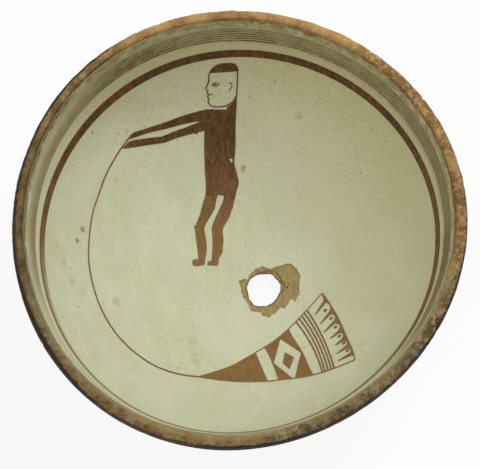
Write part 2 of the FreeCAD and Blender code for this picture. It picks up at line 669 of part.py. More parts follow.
def make_fan(coat):
    wedge = sight_cone(outline(WEDGE_RUNS))
    top_edge = (WEDGE_RUNS[1][0],) + FAN_TOP_EDGE[4:]
    low_edge = (WEDGE_RUNS[1][1],) + FAN_LOW_EDGE[4:]
    edges = sight_cones([stroke(top_edge, EDGE_STROKE_PIXELS),
                         stroke(low_edge, EDGE_STROKE_PIXELS)]).cut(wedge)
    panel = sight_cone(outline(PANEL_RUNS)).cut([sight_cone(polygon(PANEL_WINDOW)), edges])
    fine = sight_cones([stroke(points, FINE_STROKE_PIXELS) for points in FINE_LINE_RUNS]).cut(edges)
    fringe = sight_cone(fringe_outline())
    dots = sight_cones([ellipse(centre, DOT_LENGTH_PIXELS, DOT_WIDTH_PIXELS, DOT_LEAN)
                        for centre in FRINGE_DOTS]).cut(fringe)
    return [
        painted("fan_diamond_panel", coat, panel),
        painted("fan_centre_diamond", coat, sight_cone(polygon(CENTRE_DIAMOND))),
        painted("fan_fine_lines", coat, fine),
        painted("fan_edge_lines", coat, edges),
        painted("fan_fringe_band", coat, fringe.cut(edges)),
        painted("fan_fringe_dots", coat, dots),
    ]


def build():
    fill_sheet()
    sections = bowl_sections()
    clay, under_lip, under_slip, slip_face, paint_back, paint_face = sections
    blank = feature("clay_blank", clay_blank(clay))
    coat = feature("paint_coat", coat_blank(paint_back, paint_face))
    line_tool, band_tool = framing_tools()
    parts = [
        make_clay(blank, sections),
        make_slip(sections),
        feature("lip_paint", lip_coat(under_lip)),
        painted("fine_framing_lines", coat, line_tool),
        painted("wide_framing_band", coat, band_tool),
    ]
    parts += make_figure(coat)
    parts += make_fan(coat)
    doc.recompute()
    return parts


def check(parts):
    for made in doc.Objects:
        if "Invalid" in made.State or "Error" in made.State:
            raise RuntimeError("%s did not build: %s" % (made.Name, made.State))
    for made in parts:
        if made.Shape.isNull() or not made.Shape.isValid() or not made.Shape.Solids:
            raise RuntimeError("%s has no valid solid" % made.Name)


def export(parts):
    os.makedirs("parts", exist_ok=True)
    for made in parts:
        made.Label = made.Name
        made.Shape.exportStep("parts/%s.step" % made.Label)
        box = made.Shape.optimalBoundingBox(False, False)
        print("%-20s %2d solids %10.2f mm3  z %6.2f to %6.2f" % (
            made.Label, len(made.Shape.Solids), made.Shape.Volume, box.ZMin, box.ZMax))


sub_parts = build()
check(sub_parts)
export(sub_parts)
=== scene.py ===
"""Painted earthenware bowl: its looks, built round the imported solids. Metres, mouth up, foot at z = 0."""

import math

import bpy
import numpy as np
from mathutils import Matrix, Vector, noise


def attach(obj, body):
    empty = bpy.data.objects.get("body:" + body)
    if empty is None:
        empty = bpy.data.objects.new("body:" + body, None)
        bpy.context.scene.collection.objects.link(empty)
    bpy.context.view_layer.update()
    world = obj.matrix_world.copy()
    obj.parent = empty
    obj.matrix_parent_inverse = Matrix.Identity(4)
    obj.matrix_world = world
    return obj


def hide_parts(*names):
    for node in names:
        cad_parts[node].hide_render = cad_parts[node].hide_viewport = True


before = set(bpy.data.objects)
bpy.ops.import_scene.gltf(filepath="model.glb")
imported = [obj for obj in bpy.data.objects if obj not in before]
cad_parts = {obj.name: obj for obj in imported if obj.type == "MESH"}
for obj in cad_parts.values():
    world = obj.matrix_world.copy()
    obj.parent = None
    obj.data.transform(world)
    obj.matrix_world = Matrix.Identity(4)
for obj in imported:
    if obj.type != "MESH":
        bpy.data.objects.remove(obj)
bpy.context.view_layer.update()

MM = 0.001

# The bowl's section, as in its solids
RIM_RADIUS = 120.7 * MM
RIM_HEIGHT = 105.0 * MM
LIP_WIDTH = 6.35 * MM
LIP_RISE = 3.0 * MM
LIP_SHIFT = 0.9 * MM
WALL_THICKNESS = 6.6 * MM
FLOOR_THICKNESS = 6.0 * MM
FOOT_RADIUS = 34.0 * MM
WALL_FLARE = 0.5 * MM
INNER_FLARE_DEPTH = 14.0 * MM
OUTER_FLARE_DEPTH = 34.0 * MM
# The slip's face is raised here to lie about flush with the painted picture
SLIP_COAT = 0.53 * MM
SLIP_STOP = 2.2 * MM
PAINT_COAT = 0.25 * MM
LIP_PAINT_DROP = 6.0 * MM
CHIP_DEPTH = 1.1 * MM
WALL_POWER = 2.1
DISC_SHARE = 0.15
WALL_STATIONS = 26
LIP_STATIONS = 5
LIP_SHIFT_AZIMUTH = math.radians(130.0)
WALL_WAVE_SHARES = ((1, 0.0100, 154.3), (2, 0.0080, 54.3), (3, 0.0096, 7.8))

# The camera of the photograph
FRAME_PIXELS = (480, 469)
PHOTO_CENTRE = (FRAME_PIXELS[0] / 2.0, FRAME_PIXELS[1] / 2.0)
VIEW_TILT = math.radians(17.0)
EYE_DISTANCE = 787.0 * MM
LOOK_BACK = 8.8 * MM
PIXEL_SIZE = 0.5245 * MM
SENSOR_WIDTH = 36.0

FORWARD = Vector((0.0, math.sin(VIEW_TILT), -math.cos(VIEW_TILT)))
UPWARD = Vector((0.0, math.cos(VIEW_TILT), math.sin(VIEW_TILT)))
LOOK_POINT = Vector((0.0, -LOOK_BACK, RIM_HEIGHT))
EYE = LOOK_POINT - FORWARD * EYE_DISTANCE

# Pixel coordinates of the photograph, x to the right and y down
HOLE_OUTLINE = ((247.0, 285.9), (250.6, 278.8), (256.7, 275.2), (263.9, 273.9), (272.0, 274.7),
                (277.1, 279.8), (280.4, 284.9), (280.2, 291.0), (277.1, 298.2), (273.1, 302.8),
                (266.9, 305.8), (258.8, 306.3), (253.2, 304.8), (249.6, 299.2), (247.6, 292.0))
CHIP_OUTLINE = ((257.0, 273.6), (266.0, 270.6), (275.5, 271.2), (279.6, 276.2), (281.4, 280.6),
                (285.0, 283.2), (284.6, 288.6), (281.2, 293.0), (276.0, 296.0), (262.0, 290.0))
SPALL_OUTLINE = ((239.4, 280.8), (243.5, 278.6), (248.1, 279.8), (249.6, 275.2), (254.7, 269.6),
                 (262.9, 266.7), (270.0, 269.1), (277.1, 266.3), (281.2, 265.5), (285.3, 263.7),
                 (291.4, 264.5), (296.5, 268.1), (300.1, 275.7), (299.6, 284.9), (299.4, 294.1),
                 (295.5, 301.7), (291.4, 298.7), (289.4, 301.2), (285.3, 308.4), (280.2, 307.9),
                 (275.1, 313.0), (269.5, 317.8), (261.8, 316.0), (261.3, 312.7), (250.6, 311.4),
                 (249.6, 307.3), (245.5, 300.2), (241.9, 294.1), (240.4, 285.9))

# How finely the clay and its coats are divided
ROUND_STEPS = 360
LIP_ROUND_STEPS = 720
OUTSIDE_STEPS = 128
FOOT_STEPS = 22
LIP_STEPS = 20
LIP_SINK = 0.9 * MM
SLIP_OVERLAP = 3.0 * MM
FLOOR_STEPS = 42
FLOOR_REACH = 42.0 * MM
WALL_STEPS = 26

# How far down from the rim its unevenness reaches, outside, inside and over all
OUTER_WANDER = 12.0 * MM
INNER_WANDER = 4.5 * MM
WANDER_REACH = 14.0 * MM

# The slip's broken top edge: how far down it is shaped and darkened with painted shade, and the overlap it
# always keeps
EDGE_REACH = 5.0 * MM
EDGE_SHADE = 1.4 * MM
EDGE_SPARE = 0.8 * MM

# The clay that is let down under the painted lip starts here, and the paint's own depths
LIP_SINK_START = 4.6 * MM
LIP_BACK = 0.3 * MM
DEEPEST_PIT = 0.42 * MM
LIP_BRUSHED = 4.0 * MM

# Cutters along the lines of sight: how far they reach, as shares of the eye's distance, and their spread
HOLE_CUT = (1.0, 1.22)
SPALL_CUT = (0.95, 1.3)
FLARE_CUT_END = 1.16
FLARE_SPREAD = 1.22
FLOOR_HIGHEST = 30.0 * MM
FAR_OFF_PIXELS = 20.0

# Blender seeds its vector noise by the clock, so it is set here: broken edges are the same in each run
NOISE_SEED = 7
noise.seed_set(NOISE_SEED)


# The section of the bowl

def dome_point(angle, half_width, bottom, mouth_radius, flare_depth):
    power = 2.0 / WALL_POWER
    radius = half_width * math.sin(angle) ** power
    height = bottom + (RIM_HEIGHT - bottom) * (1.0 - math.cos(angle) ** power)
    rise = max(0.0, 1.0 - (RIM_HEIGHT - LIP_RISE - height) / flare_depth)
    return radius + (mouth_radius - half_width) * rise ** 2, height


def dome_stations(half_width, bottom, mouth_radius, flare_depth, first_radius, shift):
    first = math.asin((first_radius / half_width) ** (WALL_POWER / 2.0))
    last = math.acos((LIP_RISE / (RIM_HEIGHT - bottom)) ** (WALL_POWER / 2.0))
    stations = []
    for step in range(WALL_STATIONS):
        angle = first + (last - first) * step / (WALL_STATIONS - 1)
        radius, height = dome_point(angle, half_width, bottom, mouth_radius, flare_depth)
        stations.append((radius, shift * radius / mouth_radius, height))
    return stations


def clay_stations():
    """Radius, sideways shift and height of the clay's face: up the outside, over the lip, down inside."""
    mouth = RIM_RADIUS - LIP_WIDTH
    half_width = mouth - WALL_FLARE
    outer_half_width = half_width + WALL_THICKNESS
    foot_share = (1.0 - (FOOT_RADIUS / outer_half_width) ** WALL_POWER) ** (1.0 / WALL_POWER)
    outer_bottom = RIM_HEIGHT * (1.0 - 1.0 / foot_share)
    outside = dome_stations(outer_half_width, outer_bottom, RIM_RADIUS, OUTER_FLARE_DEPTH, FOOT_RADIUS, 0.0)
    inside = dome_stations(half_width, FLOOR_THICKNESS, mouth, INNER_FLARE_DEPTH,
                           FOOT_RADIUS * DISC_SHARE, LIP_SHIFT)
    outside[0] = (FOOT_RADIUS, 0.0, 0.0)
    middle = (outside[-1][0] + inside[-1][0]) / 2.0
    reach = (outside[-1][0] - inside[-1][0]) / 2.0
    lip = []
    for step in range(1, LIP_STATIONS + 1):
        turn = math.pi * step / (LIP_STATIONS + 1)
        lip.append((middle + reach * math.cos(turn), inside[-1][1] * step / (LIP_STATIONS + 1),
                    outside[-1][2] + LIP_RISE * math.sin(turn)))
    return np.array(outside + lip + inside[::-1])


def smooth_curve(stations, per_span):
    """Even, smooth curve through stations: a cubic with no kink in slope or curvature."""
    spans = np.linalg.norm(np.diff(stations, axis=0), axis=1)
    count = len(stations)
    system = np.eye(count)
    target = np.zeros_like(stations)
    for index in range(1, count - 1):
        before, after = spans[index - 1], spans[index]
        system[index, index - 1:index + 2] = before, 2.0 * (before + after), after
        target[index] = 6.0 * ((stations[index + 1] - stations[index]) / after
                               - (stations[index] - stations[index - 1]) / before)
    bend = np.linalg.solve(system, target)
    places = []
    for index in range(count - 1):
        span = spans[index]
        for share in np.arange(per_span) / per_span:
            back = 1.0 - share
            places.append(back * stations[index] + share * stations[index + 1]
                          + span ** 2 / 6.0 * ((back ** 3 - back) * bend[index]
                                               + (share ** 3 - share) * bend[index + 1]))
    places.append(stations[-1])
    return np.array(places)


CLAY_CURVE = smooth_curve(clay_stations(), 40)
CREST = int(np.argmax(CLAY_CURVE[:, 2]))


def raised(curve, coat):
    """The same curve moved out of the clay by a coat."""
    along = np.gradient(curve, axis=0)
    length = np.hypot(along[:, 0], along[:, 2])
    moved = curve.copy()
    moved[:, 0] += coat * along[:, 2] / length
    moved[:, 2] -= coat * along[:, 0] / length
    return moved


def spaced(curve, count):
    """A number of points evenly along a curve."""
    run = np.concatenate(([0.0], np.cumsum(np.linalg.norm(np.diff(curve, axis=0), axis=1))))
    at = np.linspace(0.0, run[-1], count)
    return np.stack([np.interp(at, run, curve[:, axis]) for axis in range(3)], axis=1)


def outside_curve():
    return CLAY_CURVE[:CREST + 1]


def inside_curve():
    return CLAY_CURVE[CREST:]


def crossing(curve, height):
    """Index of the first point of a curve past a height, going up or down."""
    going_up = curve[-1, 2] > curve[0, 2]
    past = curve[:, 2] >= height if going_up else curve[:, 2] <= height
    return int(np.argmax(past))


def round_share(azimuth):
    """How far the wall stands out of a circle at an azimuth."""
    share = np.ones_like(azimuth)
    for waves, size, crest in WALL_WAVE_SHARES:
        share = share + size * np.cos(waves * (azimuth - math.radians(crest)))
    return share


# Modelling helpers

def start_clean():
    if bpy.context.object and bpy.context.object.mode != "OBJECT":
        bpy.ops.object.mode_set(mode="OBJECT")
    bpy.ops.object.select_all(action="DESELECT")


def turned(name, profile, steps=ROUND_STEPS):
    """A chain of radius, shift and height spun once round the axis; a loop when it ends where it began."""
    start_clean()
    looped = bool(np.allclose(profile[0], profile[-1]))
    chain = profile[:-1] if looped else profile
    bpy.ops.mesh.primitive_circle_add(vertices=len(chain), radius=RIM_RADIUS)
    piece = bpy.context.object
    piece.name = name
    piece.data.name = name
    for vertex, (radius, shift, height) in zip(piece.data.vertices, chain):
        vertex.co = (radius, 0.0, height)
    if not looped:
        bpy.ops.object.mode_set(mode="EDIT")
        bpy.ops.mesh.select_all(action="DESELECT")
        bpy.ops.object.mode_set(mode="OBJECT")
        for edge in piece.data.edges:
            edge.select = set(edge.vertices) == {0, len(chain) - 1}
        bpy.ops.object.mode_set(mode="EDIT")
        bpy.ops.mesh.select_mode(type="EDGE")
        bpy.ops.mesh.delete(type="EDGE")
    else:
        bpy.ops.object.mode_set(mode="EDIT")
    bpy.ops.mesh.select_mode(type="VERT")
    bpy.ops.mesh.select_all(action="SELECT")
    bpy.ops.mesh.spin(steps=steps, angle=2.0 * math.pi, center=(0.0, 0.0, 0.0), axis=(0.0, 0.0, 1.0))
    bpy.ops.mesh.select_all(action="SELECT")
    bpy.ops.mesh.remove_doubles(threshold=1e-6)
    bpy.ops.mesh.normals_make_consistent(inside=False)
    bpy.ops.object.mode_set(mode="OBJECT")
    return piece


def get_values(piece, kind):
    values = np.empty(len(piece.data.vertices) * 3)
    piece.data.vertices.foreach_get(kind, values)
    return values.reshape(-1, 3)


def get_places(piece):
    return get_values(piece, "co")


def set_places(piece, places):
    piece.data.vertices.foreach_set("co", places.ravel())
    piece.data.update()


def polar(places):
    """Radius and azimuth of points round the bowl's axis."""
    return np.hypot(places[:, 0], places[:, 1]), np.arctan2(places[:, 1], places[:, 0])


def past_the_crest(places):
    """Which points lie on the inner side of the lip's crest."""
    radius, azimuth = polar(places)
    return radius < (RIM_RADIUS - LIP_WIDTH / 2.0) * round_share(azimuth)


def push_out_of_round(piece):
    """Follows the wall's uneven outline, and leans the inside to one side as the potter's wall does."""
    places = get_places(piece)
    radius, azimuth = polar(places)
    inside = inside_curve()
    order = np.argsort(inside[:, 2])
    inner_radius = np.interp(places[:, 2], inside[order, 2], inside[order, 0])
    lean = np.where(radius < inner_radius + WALL_THICKNESS / 2.0,
                    np.interp(places[:, 2], inside[order, 2], inside[order, 1]), 0.0)
    crest_band = places[:, 2] > RIM_HEIGHT - LIP_RISE
    across = np.clip((RIM_RADIUS - radius) / LIP_WIDTH, 0.0, 1.0)
    lean = np.where(crest_band, LIP_SHIFT * across, lean)
    share = round_share(azimuth)
    places[:, 0] = places[:, 0] * share + lean * math.cos(LIP_SHIFT_AZIMUTH)
    places[:, 1] = places[:, 1] * share + lean * math.sin(LIP_SHIFT_AZIMUTH)
    set_places(piece, places)


def rough(place, scale, seed, octaves=3):
    return noise.fractal((place + Vector((seed, seed * 0.7, seed * 1.3))) * scale, 1.0, 2.1, octaves)


def ring_noise(azimuth, scale, seed):
    """Noise that runs round the rim and closes on itself."""
    return noise.noise(Vector((math.cos(azimuth) * scale, math.sin(azimuth) * scale, seed)))


def lip_wander(azimuth, height, inner):
    """How the hand-finished lip dips and thins on its way round: its downward and inward moves."""
    reach = INNER_WANDER if inner else OUTER_WANDER
    fade = min(1.0, max(0.0, 1.0 - (RIM_HEIGHT - 1.5 * MM - height) / reach))
    dip = 0.5 + 0.5 * ring_noise(azimuth, 4.0, 3.1)
    dent = 0.5 + 0.5 * ring_noise(azimuth, 14.0, 8.2)
    nick = max(0.0, ring_noise(azimuth, 42.0, 1.7) - 0.34)
    down = (0.40 * dip + 0.25 * dent + 1.2 * nick) * MM
    inward = (0.26 * dent + 0.05 * (1.0 + ring_noise(azimuth, 30.0, 5.5)) + 1.2 * nick) * MM
    return fade * down, fade * (0.0 if inner else inward)


def move_lip(piece):
    places = get_places(piece)
    radius, azimuth = polar(places)
    inner_side = past_the_crest(places)
    for index in np.nonzero(places[:, 2] > RIM_HEIGHT - WANDER_REACH)[0]:
        down, inward = lip_wander(azimuth[index], places[index, 2], bool(inner_side[index]))
        places[index, :2] *= 1.0 - inward / radius[index]
        places[index, 2] -= down
    set_places(piece, places)


def give_values(piece, name, values):
    """A value for each vertex of a piece, for its material to read."""
    held = piece.data.attributes.new(name, "FLOAT", "POINT")
    held.data.foreach_set("value", np.asarray(values, dtype=np.float32))


# The photograph's lines of sight

def on_picture(pixel):
    across = (pixel[0] - PHOTO_CENTRE[0]) * PIXEL_SIZE
    up = (PHOTO_CENTRE[1] - pixel[1]) * PIXEL_SIZE
    return LOOK_POINT + Vector((across, 0.0, 0.0)) + UPWARD * up


def seen_pixels(places):
    """Pixels at which points are seen."""
    rel = places - np.array(EYE)
    depth = rel @ np.array(FORWARD)
    across = rel[:, 0] * EYE_DISTANCE / depth
    up = (rel @ np.array(UPWARD)) * EYE_DISTANCE / depth
    return np.stack([PHOTO_CENTRE[0] + across / PIXEL_SIZE, PHOTO_CENTRE[1] - up / PIXEL_SIZE], axis=1)


def on_floor(pixel):
    """Where the line of sight of a pixel meets the inside of the bowl."""
    direction = (on_picture(pixel) - EYE).normalized()
    inside = inside_curve()[::-1]
    low, high = EYE_DISTANCE * 0.5, EYE_DISTANCE * 1.6
    for _ in range(50):
        middle = (low + high) / 2.0
        place = EYE + direction * middle
        radius = math.hypot(place.x, place.y)
        share = float(round_share(np.array(math.atan2(place.y, place.x))))
        floor = float(np.interp(radius / share, inside[:, 0], inside[:, 2]))
        if place.z > floor:
            low = middle
        else:
            high = middle
    return EYE + direction * low


def distance_inside(points, outline):
    """How deep points lie inside a closed outline; negative outside it."""
    corners = np.array(outline)
    ends = np.roll(corners, -1, axis=0)
    best = np.full(len(points), np.inf)
    odd = np.zeros(len(points), dtype=bool)
    for start, end in zip(corners, ends):
        edge = end - start
        share = np.clip(((points - start) @ edge) / (edge @ edge), 0.0, 1.0)
        gap = np.linalg.norm(points - start - share[:, None] * edge, axis=1)
        best = np.minimum(best, gap)
        crosses = (start[1] > points[:, 1]) != (end[1] > points[:, 1])
        with np.errstate(divide="ignore", invalid="ignore"):
            at = start[0] + (points[:, 1] - start[1]) / (end[1] - start[1]) * edge[0]
        odd ^= crosses & (points[:, 0] < at)
    return np.where(odd, best, -best)


def broken_outline(outline, splits, jag):
    """An outline with each side split and shaken a little, as fired clay and slip break."""
    places = []
    count = len(outline)
    for index in range(count):
        start, end = outline[index], outline[(index + 1) % count]
        for split in range(splits):
            share = split / splits
            x = start[0] + (end[0] - start[0]) * share
            y = start[1] + (end[1] - start[1]) * share
            shake = noise.noise_vector(Vector((x * 0.45, y * 0.45, jag * 7.0)))
            places.append((x + jag * shake.x, y + jag * shake.y))
    return places


def sight_cutter(name, outline, near, far, spread=1.0):
    """A closed cutter that all lines of sight through an outline fill, between two distances."""
    start_clean()
    bpy.ops.mesh.primitive_circle_add(vertices=len(outline), radius=RIM_RADIUS, fill_type="NGON")
    cutter = bpy.context.object
    cutter.name = name
    for vertex, pixel in zip(cutter.data.vertices, outline):
        vertex.co = EYE + (on_picture(pixel) - EYE) * near
    bpy.ops.object.mode_set(mode="EDIT")
    bpy.ops.mesh.select_all(action="SELECT")
    bpy.ops.mesh.extrude_region_move()
    share = far / near
    bpy.ops.transform.resize(value=(share, share, share), center_override=EYE)
    if spread != 1.0:
        bpy.ops.transform.resize(value=(spread, spread, spread))
    bpy.ops.mesh.select_all(action="SELECT")
    bpy.ops.mesh.normals_make_consistent(inside=False)
    bpy.ops.object.mode_set(mode="OBJECT")
    return cutter


def cut_away(piece, cutter):
    start_clean()
    bpy.context.view_layer.objects.active = piece
    piece.select_set(True)
    cut = piece.modifiers.new("cut", "BOOLEAN")
    cut.operation = "DIFFERENCE"
    cut.solver = "EXACT"
    cut.object = cutter
    bpy.ops.object.modifier_apply(modifier=cut.name)
    bpy.data.objects.remove(cutter, do_unlink=True)


def finish_piece(piece, slot, material, *nodes):
    start_clean()
    bpy.context.view_layer.objects.active = piece
    piece.select_set(True)
    bpy.ops.object.shade_smooth_by_angle(angle=math.radians(38.0))
    piece.data.materials.clear()
    piece.data.materials.append(material)
    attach(piece, "root")
    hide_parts(*nodes)


# Materials

def colour(code):
    """Linear colour of a six-digit code."""
    shares = [int(code[index:index + 2], 16) / 255.0 for index in (1, 3, 5)]
    return tuple(s / 12.92 if s <= 0.04045 else ((s + 0.055) / 1.055) ** 2.4 for s in shares) + (1.0,)


class Number:
    """A number running through a material's nodes: sums on it add Math nodes."""

    def __init__(self, finish, socket):
        self.finish = finish
        self.socket = socket

    def sum(self, operation, first, second):
        return self.finish.node("ShaderNodeMath", {"operation": operation}, {0: first, 1: second}).number()

    def __add__(self, other):
        return self.sum("ADD", self, other)

    def __radd__(self, other):
        return self.sum("ADD", other, self)

    def __sub__(self, other):
        return self.sum("SUBTRACT", self, other)

    def __rsub__(self, other):
        return self.sum("SUBTRACT", other, self)

    def __mul__(self, other):
        return self.sum("MULTIPLY", self, other)

    def __rmul__(self, other):
        return self.sum("MULTIPLY", other, self)

    def __truediv__(self, other):
        return self.sum("DIVIDE", self, other)

    def __pow__(self, other):
        return self.sum("POWER", self, other)

    def above(self, low, high):
        """0 below low, 1 above high, and a smooth step between."""
        made = self.finish.node("ShaderNodeMapRange", {"interpolation_type": "SMOOTHSTEP", "clamp": True},
                                {"Value": self, "From Min": low, "From Max": high})
        return made.number()

    def below(self, low, high):
        return 1.0 - self.above(low, high)


class Made:
    """A node that has been added to a finish."""

    def __init__(self, finish, node):
        self.finish = finish
        self.raw = node

    def number(self, output=0):
        return Number(self.finish, self.raw.outputs[output])

    def out(self, output=0):
        return self.raw.outputs[output]


class Finish:
    """One procedural material with a Principled shader."""

    def __init__(self, name, tree=None):
        if tree is None:
            self.material = bpy.data.materials.new(name)
            self.material.use_nodes = True
            tree = self.material.node_tree
        self.tree = tree
        self.tree.nodes.clear()
        self.base = None
        self.places = None
        self.split = None

    def node(self, kind, settings=None, inputs=None):
        """Adds a node with its settings, and the values or links of its sockets."""
        node = self.tree.nodes.new(kind)
        for key, value in (settings or {}).items():
            setattr(node, key, value)
        for key, value in (inputs or {}).items():
            if isinstance(value, Number):
                value = value.socket
            if isinstance(value, bpy.types.NodeSocket):
                self.tree.links.new(value, node.inputs[key])
            else:
                node.inputs[key].default_value = value
        return Made(self, node)

    def place(self):
        if self.places is None:
            self.places = self.node("ShaderNodeTexCoord").out("Object")
        return self.places

    def axes(self):
        if self.split is None:
            self.split = self.node("ShaderNodeSeparateXYZ", None, {0: self.place()})
        return self.split.number(0), self.split.number(1), self.split.number(2)

    def sector(self, azimuth, full, fade):
        """1 within full degrees of an azimuth round the axis and 0 beyond fade degrees."""
        across, back, up = self.axes()
        turn = math.radians(azimuth)
        radius = (across * across + back * back) ** 0.5
        toward = (across * math.cos(turn) + back * math.sin(turn)) / radius
        return toward.above(math.cos(math.radians(fade)), math.cos(math.radians(full)))

    def value(self, name):
        """A value that the mesh holds for each of its vertices."""
        return self.node("ShaderNodeAttribute", {"attribute_type": "GEOMETRY", "attribute_name": name}
                         ).number("Fac")

    def mapped(self, stretch=(1.0, 1.0, 1.0), turn=(0.0, 0.0, 0.0)):
        return self.node("ShaderNodeMapping", {"vector_type": "POINT"},
                         {"Vector": self.place(), "Scale": stretch, "Rotation": turn}).out()

    def grain(self, size, detail=3.0, harsh=0.5, stretch=(1.0, 1.0, 1.0), turn=(0.0, 0.0, 0.0), seed=0.0,
              warp=0.0):
        """Noise from 0 to 1 whose blotches are about size millimetres across."""
        made = self.node("ShaderNodeTexNoise", {"noise_dimensions": "4D"},
                         {"Vector": self.mapped(stretch, turn), "W": seed, "Scale": 1.0 / (size * MM),
                          "Detail": detail, "Roughness": harsh, "Distortion": warp})
        return made.number(0)

    def cells(self, size, feature="F1", seed=0.0, stretch=(1.0, 1.0, 1.0)):
        """Distance to scattered points about size millimetres apart, in shares of that size."""
        made = self.node("ShaderNodeTexVoronoi", {"voronoi_dimensions": "4D", "feature": feature},
                         {"Vector": self.mapped(stretch), "W": seed, "Scale": 1.0 / (size * MM)})
        return made.number(0)

    def blend(self, base, over, share):
        made = self.node("ShaderNodeMix", {"data_type": "RGBA", "clamp_factor": True},
                         {0: share, 6: base, 7: over})
        return made.out(2)

    def start(self, first, second, share):
        """The base colour: a first code with a share of a second."""
        self.base = self.blend(colour(first), colour(second), share)

    def lay(self, code, share):
        """A share of one more colour over the base."""
        self.base = self.blend(self.base, colour(code), share)

    def spot(self, place, inner, outer, wobble=None):
        """1 within inner of a place and 0 beyond outer."""
        gap = self.node("ShaderNodeVectorMath", {"operation": "DISTANCE"},
                        {0: self.place(), 1: tuple(place)}).number("Value")
        if wobble is not None:
            gap = gap + wobble
        return gap.below(inner, outer)

    def close(self, roughness, height, depth, specular):
        bump = self.node("ShaderNodeBump", None, {"Height": height, "Distance": depth, "Strength": 1.0})
        shader = self.node("ShaderNodeBsdfPrincipled", None,
                           {"Base Color": self.base, "Roughness": roughness, "Normal": bump.out(),
                            "Specular IOR Level": specular})
        self.node("ShaderNodeOutputMaterial", None, {"Surface": shader.out()})
        return self.material


# Places of marks on the slip, in pixels of the photograph: place, reach in millimetres, strength
DARK_SPECKS = (((117.0, 179.0), 0.55, 0.8), ((275.0, 81.0), 0.8, 0.8), ((149.5, 210.5), 0.5, 0.6),
               ((264.0, 321.5), 0.8, 0.6), ((354.0, 300.0), 0.6, 0.7), ((245.0, 246.5), 0.5, 0.4),
               ((272.0, 243.0), 0.5, 0.45), ((288.0, 175.5), 0.5, 0.5), ((413.0, 243.5), 0.9, 0.6),
               ((320.5, 98.0), 0.8, 0.5), ((178.0, 253.5), 0.5, 0.45), ((206.0, 214.5), 0.5, 0.4),
               ((108.0, 247.5), 0.5, 0.5), ((72.0, 165.5), 0.7, 0.5), ((51.0, 210.0), 0.8, 0.5),
               ((411.5, 188.0), 0.9, 0.6), ((391.0, 279.5), 0.9, 0.5), ((373.0, 196.0), 0.5, 0.4))
BROWN_MARKS = (((82.5, 229.5), 2.3, 0.75), ((77.0, 240.5), 1.7, 0.95), ((243.5, 167.5), 1.9, 0.65),
               ((243.0, 171.5), 1.4, 0.5), ((361.0, 172.5), 1.4, 0.5), ((345.0, 176.5), 1.2, 0.4),
               ((300.0, 117.0), 1.6, 0.3), ((302.5, 148.0), 1.1, 0.3), ((250.0, 97.0), 1.2, 0.35),
               ((92.5, 132.5), 1.1, 0.9), ((86.0, 147.0), 0.9, 0.6), ((70.0, 268.0), 0.9, 0.6),
               ((79.0, 307.0), 0.9, 0.55), ((284.0, 400.5), 1.1, 0.7), ((399.0, 174.5), 1.0, 0.5))
GREY_SMUDGES = (((116.0, 302.0), 3.2, 0.4), ((103.0, 303.0), 2.0, 0.18), ((298.0, 116.0), 3.4, 0.16),
                ((57.0, 245.0), 3.0, 0.22), ((64.0, 264.0), 3.2, 0.22), ((72.0, 282.0), 3.4, 0.26),
                ((82.0, 292.0), 4.0, 0.16))
RUST_BLOOMS = (((127.0, 131.0), 1.8, 0.5), ((196.0, 362.0), 2.8, 0.4), ((192.0, 342.0), 3.6, 0.3),
               ((194.0, 355.0), 2.2, 0.35), ((179.0, 369.0), 1.6, 0.6), ((246.0, 245.0), 2.0, 0.15),
               ((262.0, 358.0), 1.5, 0.35), ((297.0, 336.5), 1.4, 0.45), ((304.5, 347.5), 1.4, 0.5),
               ((331.0, 302.0), 1.6, 0.35), ((362.0, 345.0), 2.6, 0.25), ((207.5, 269.5), 1.6, 0.35),
               ((276.0, 377.0), 1.2, 0.5), ((312.0, 330.0), 1.2, 0.5), ((365.0, 357.0), 1.5, 0.35))
SOOT_PATCHES = (((35.0, 154.0), 2.6, 0.8), ((30.5, 166.0), 2.0, 0.6))


def marks(finish, entries, tint, wobble):
    """Stains at given places, each a soft spot of one tint."""
    for pixel, reach, strength in entries:
        spot = finish.spot(on_floor(pixel), reach * 0.45 * MM, reach * 1.15 * MM, wobble)
        finish.lay(tint, spot * strength)


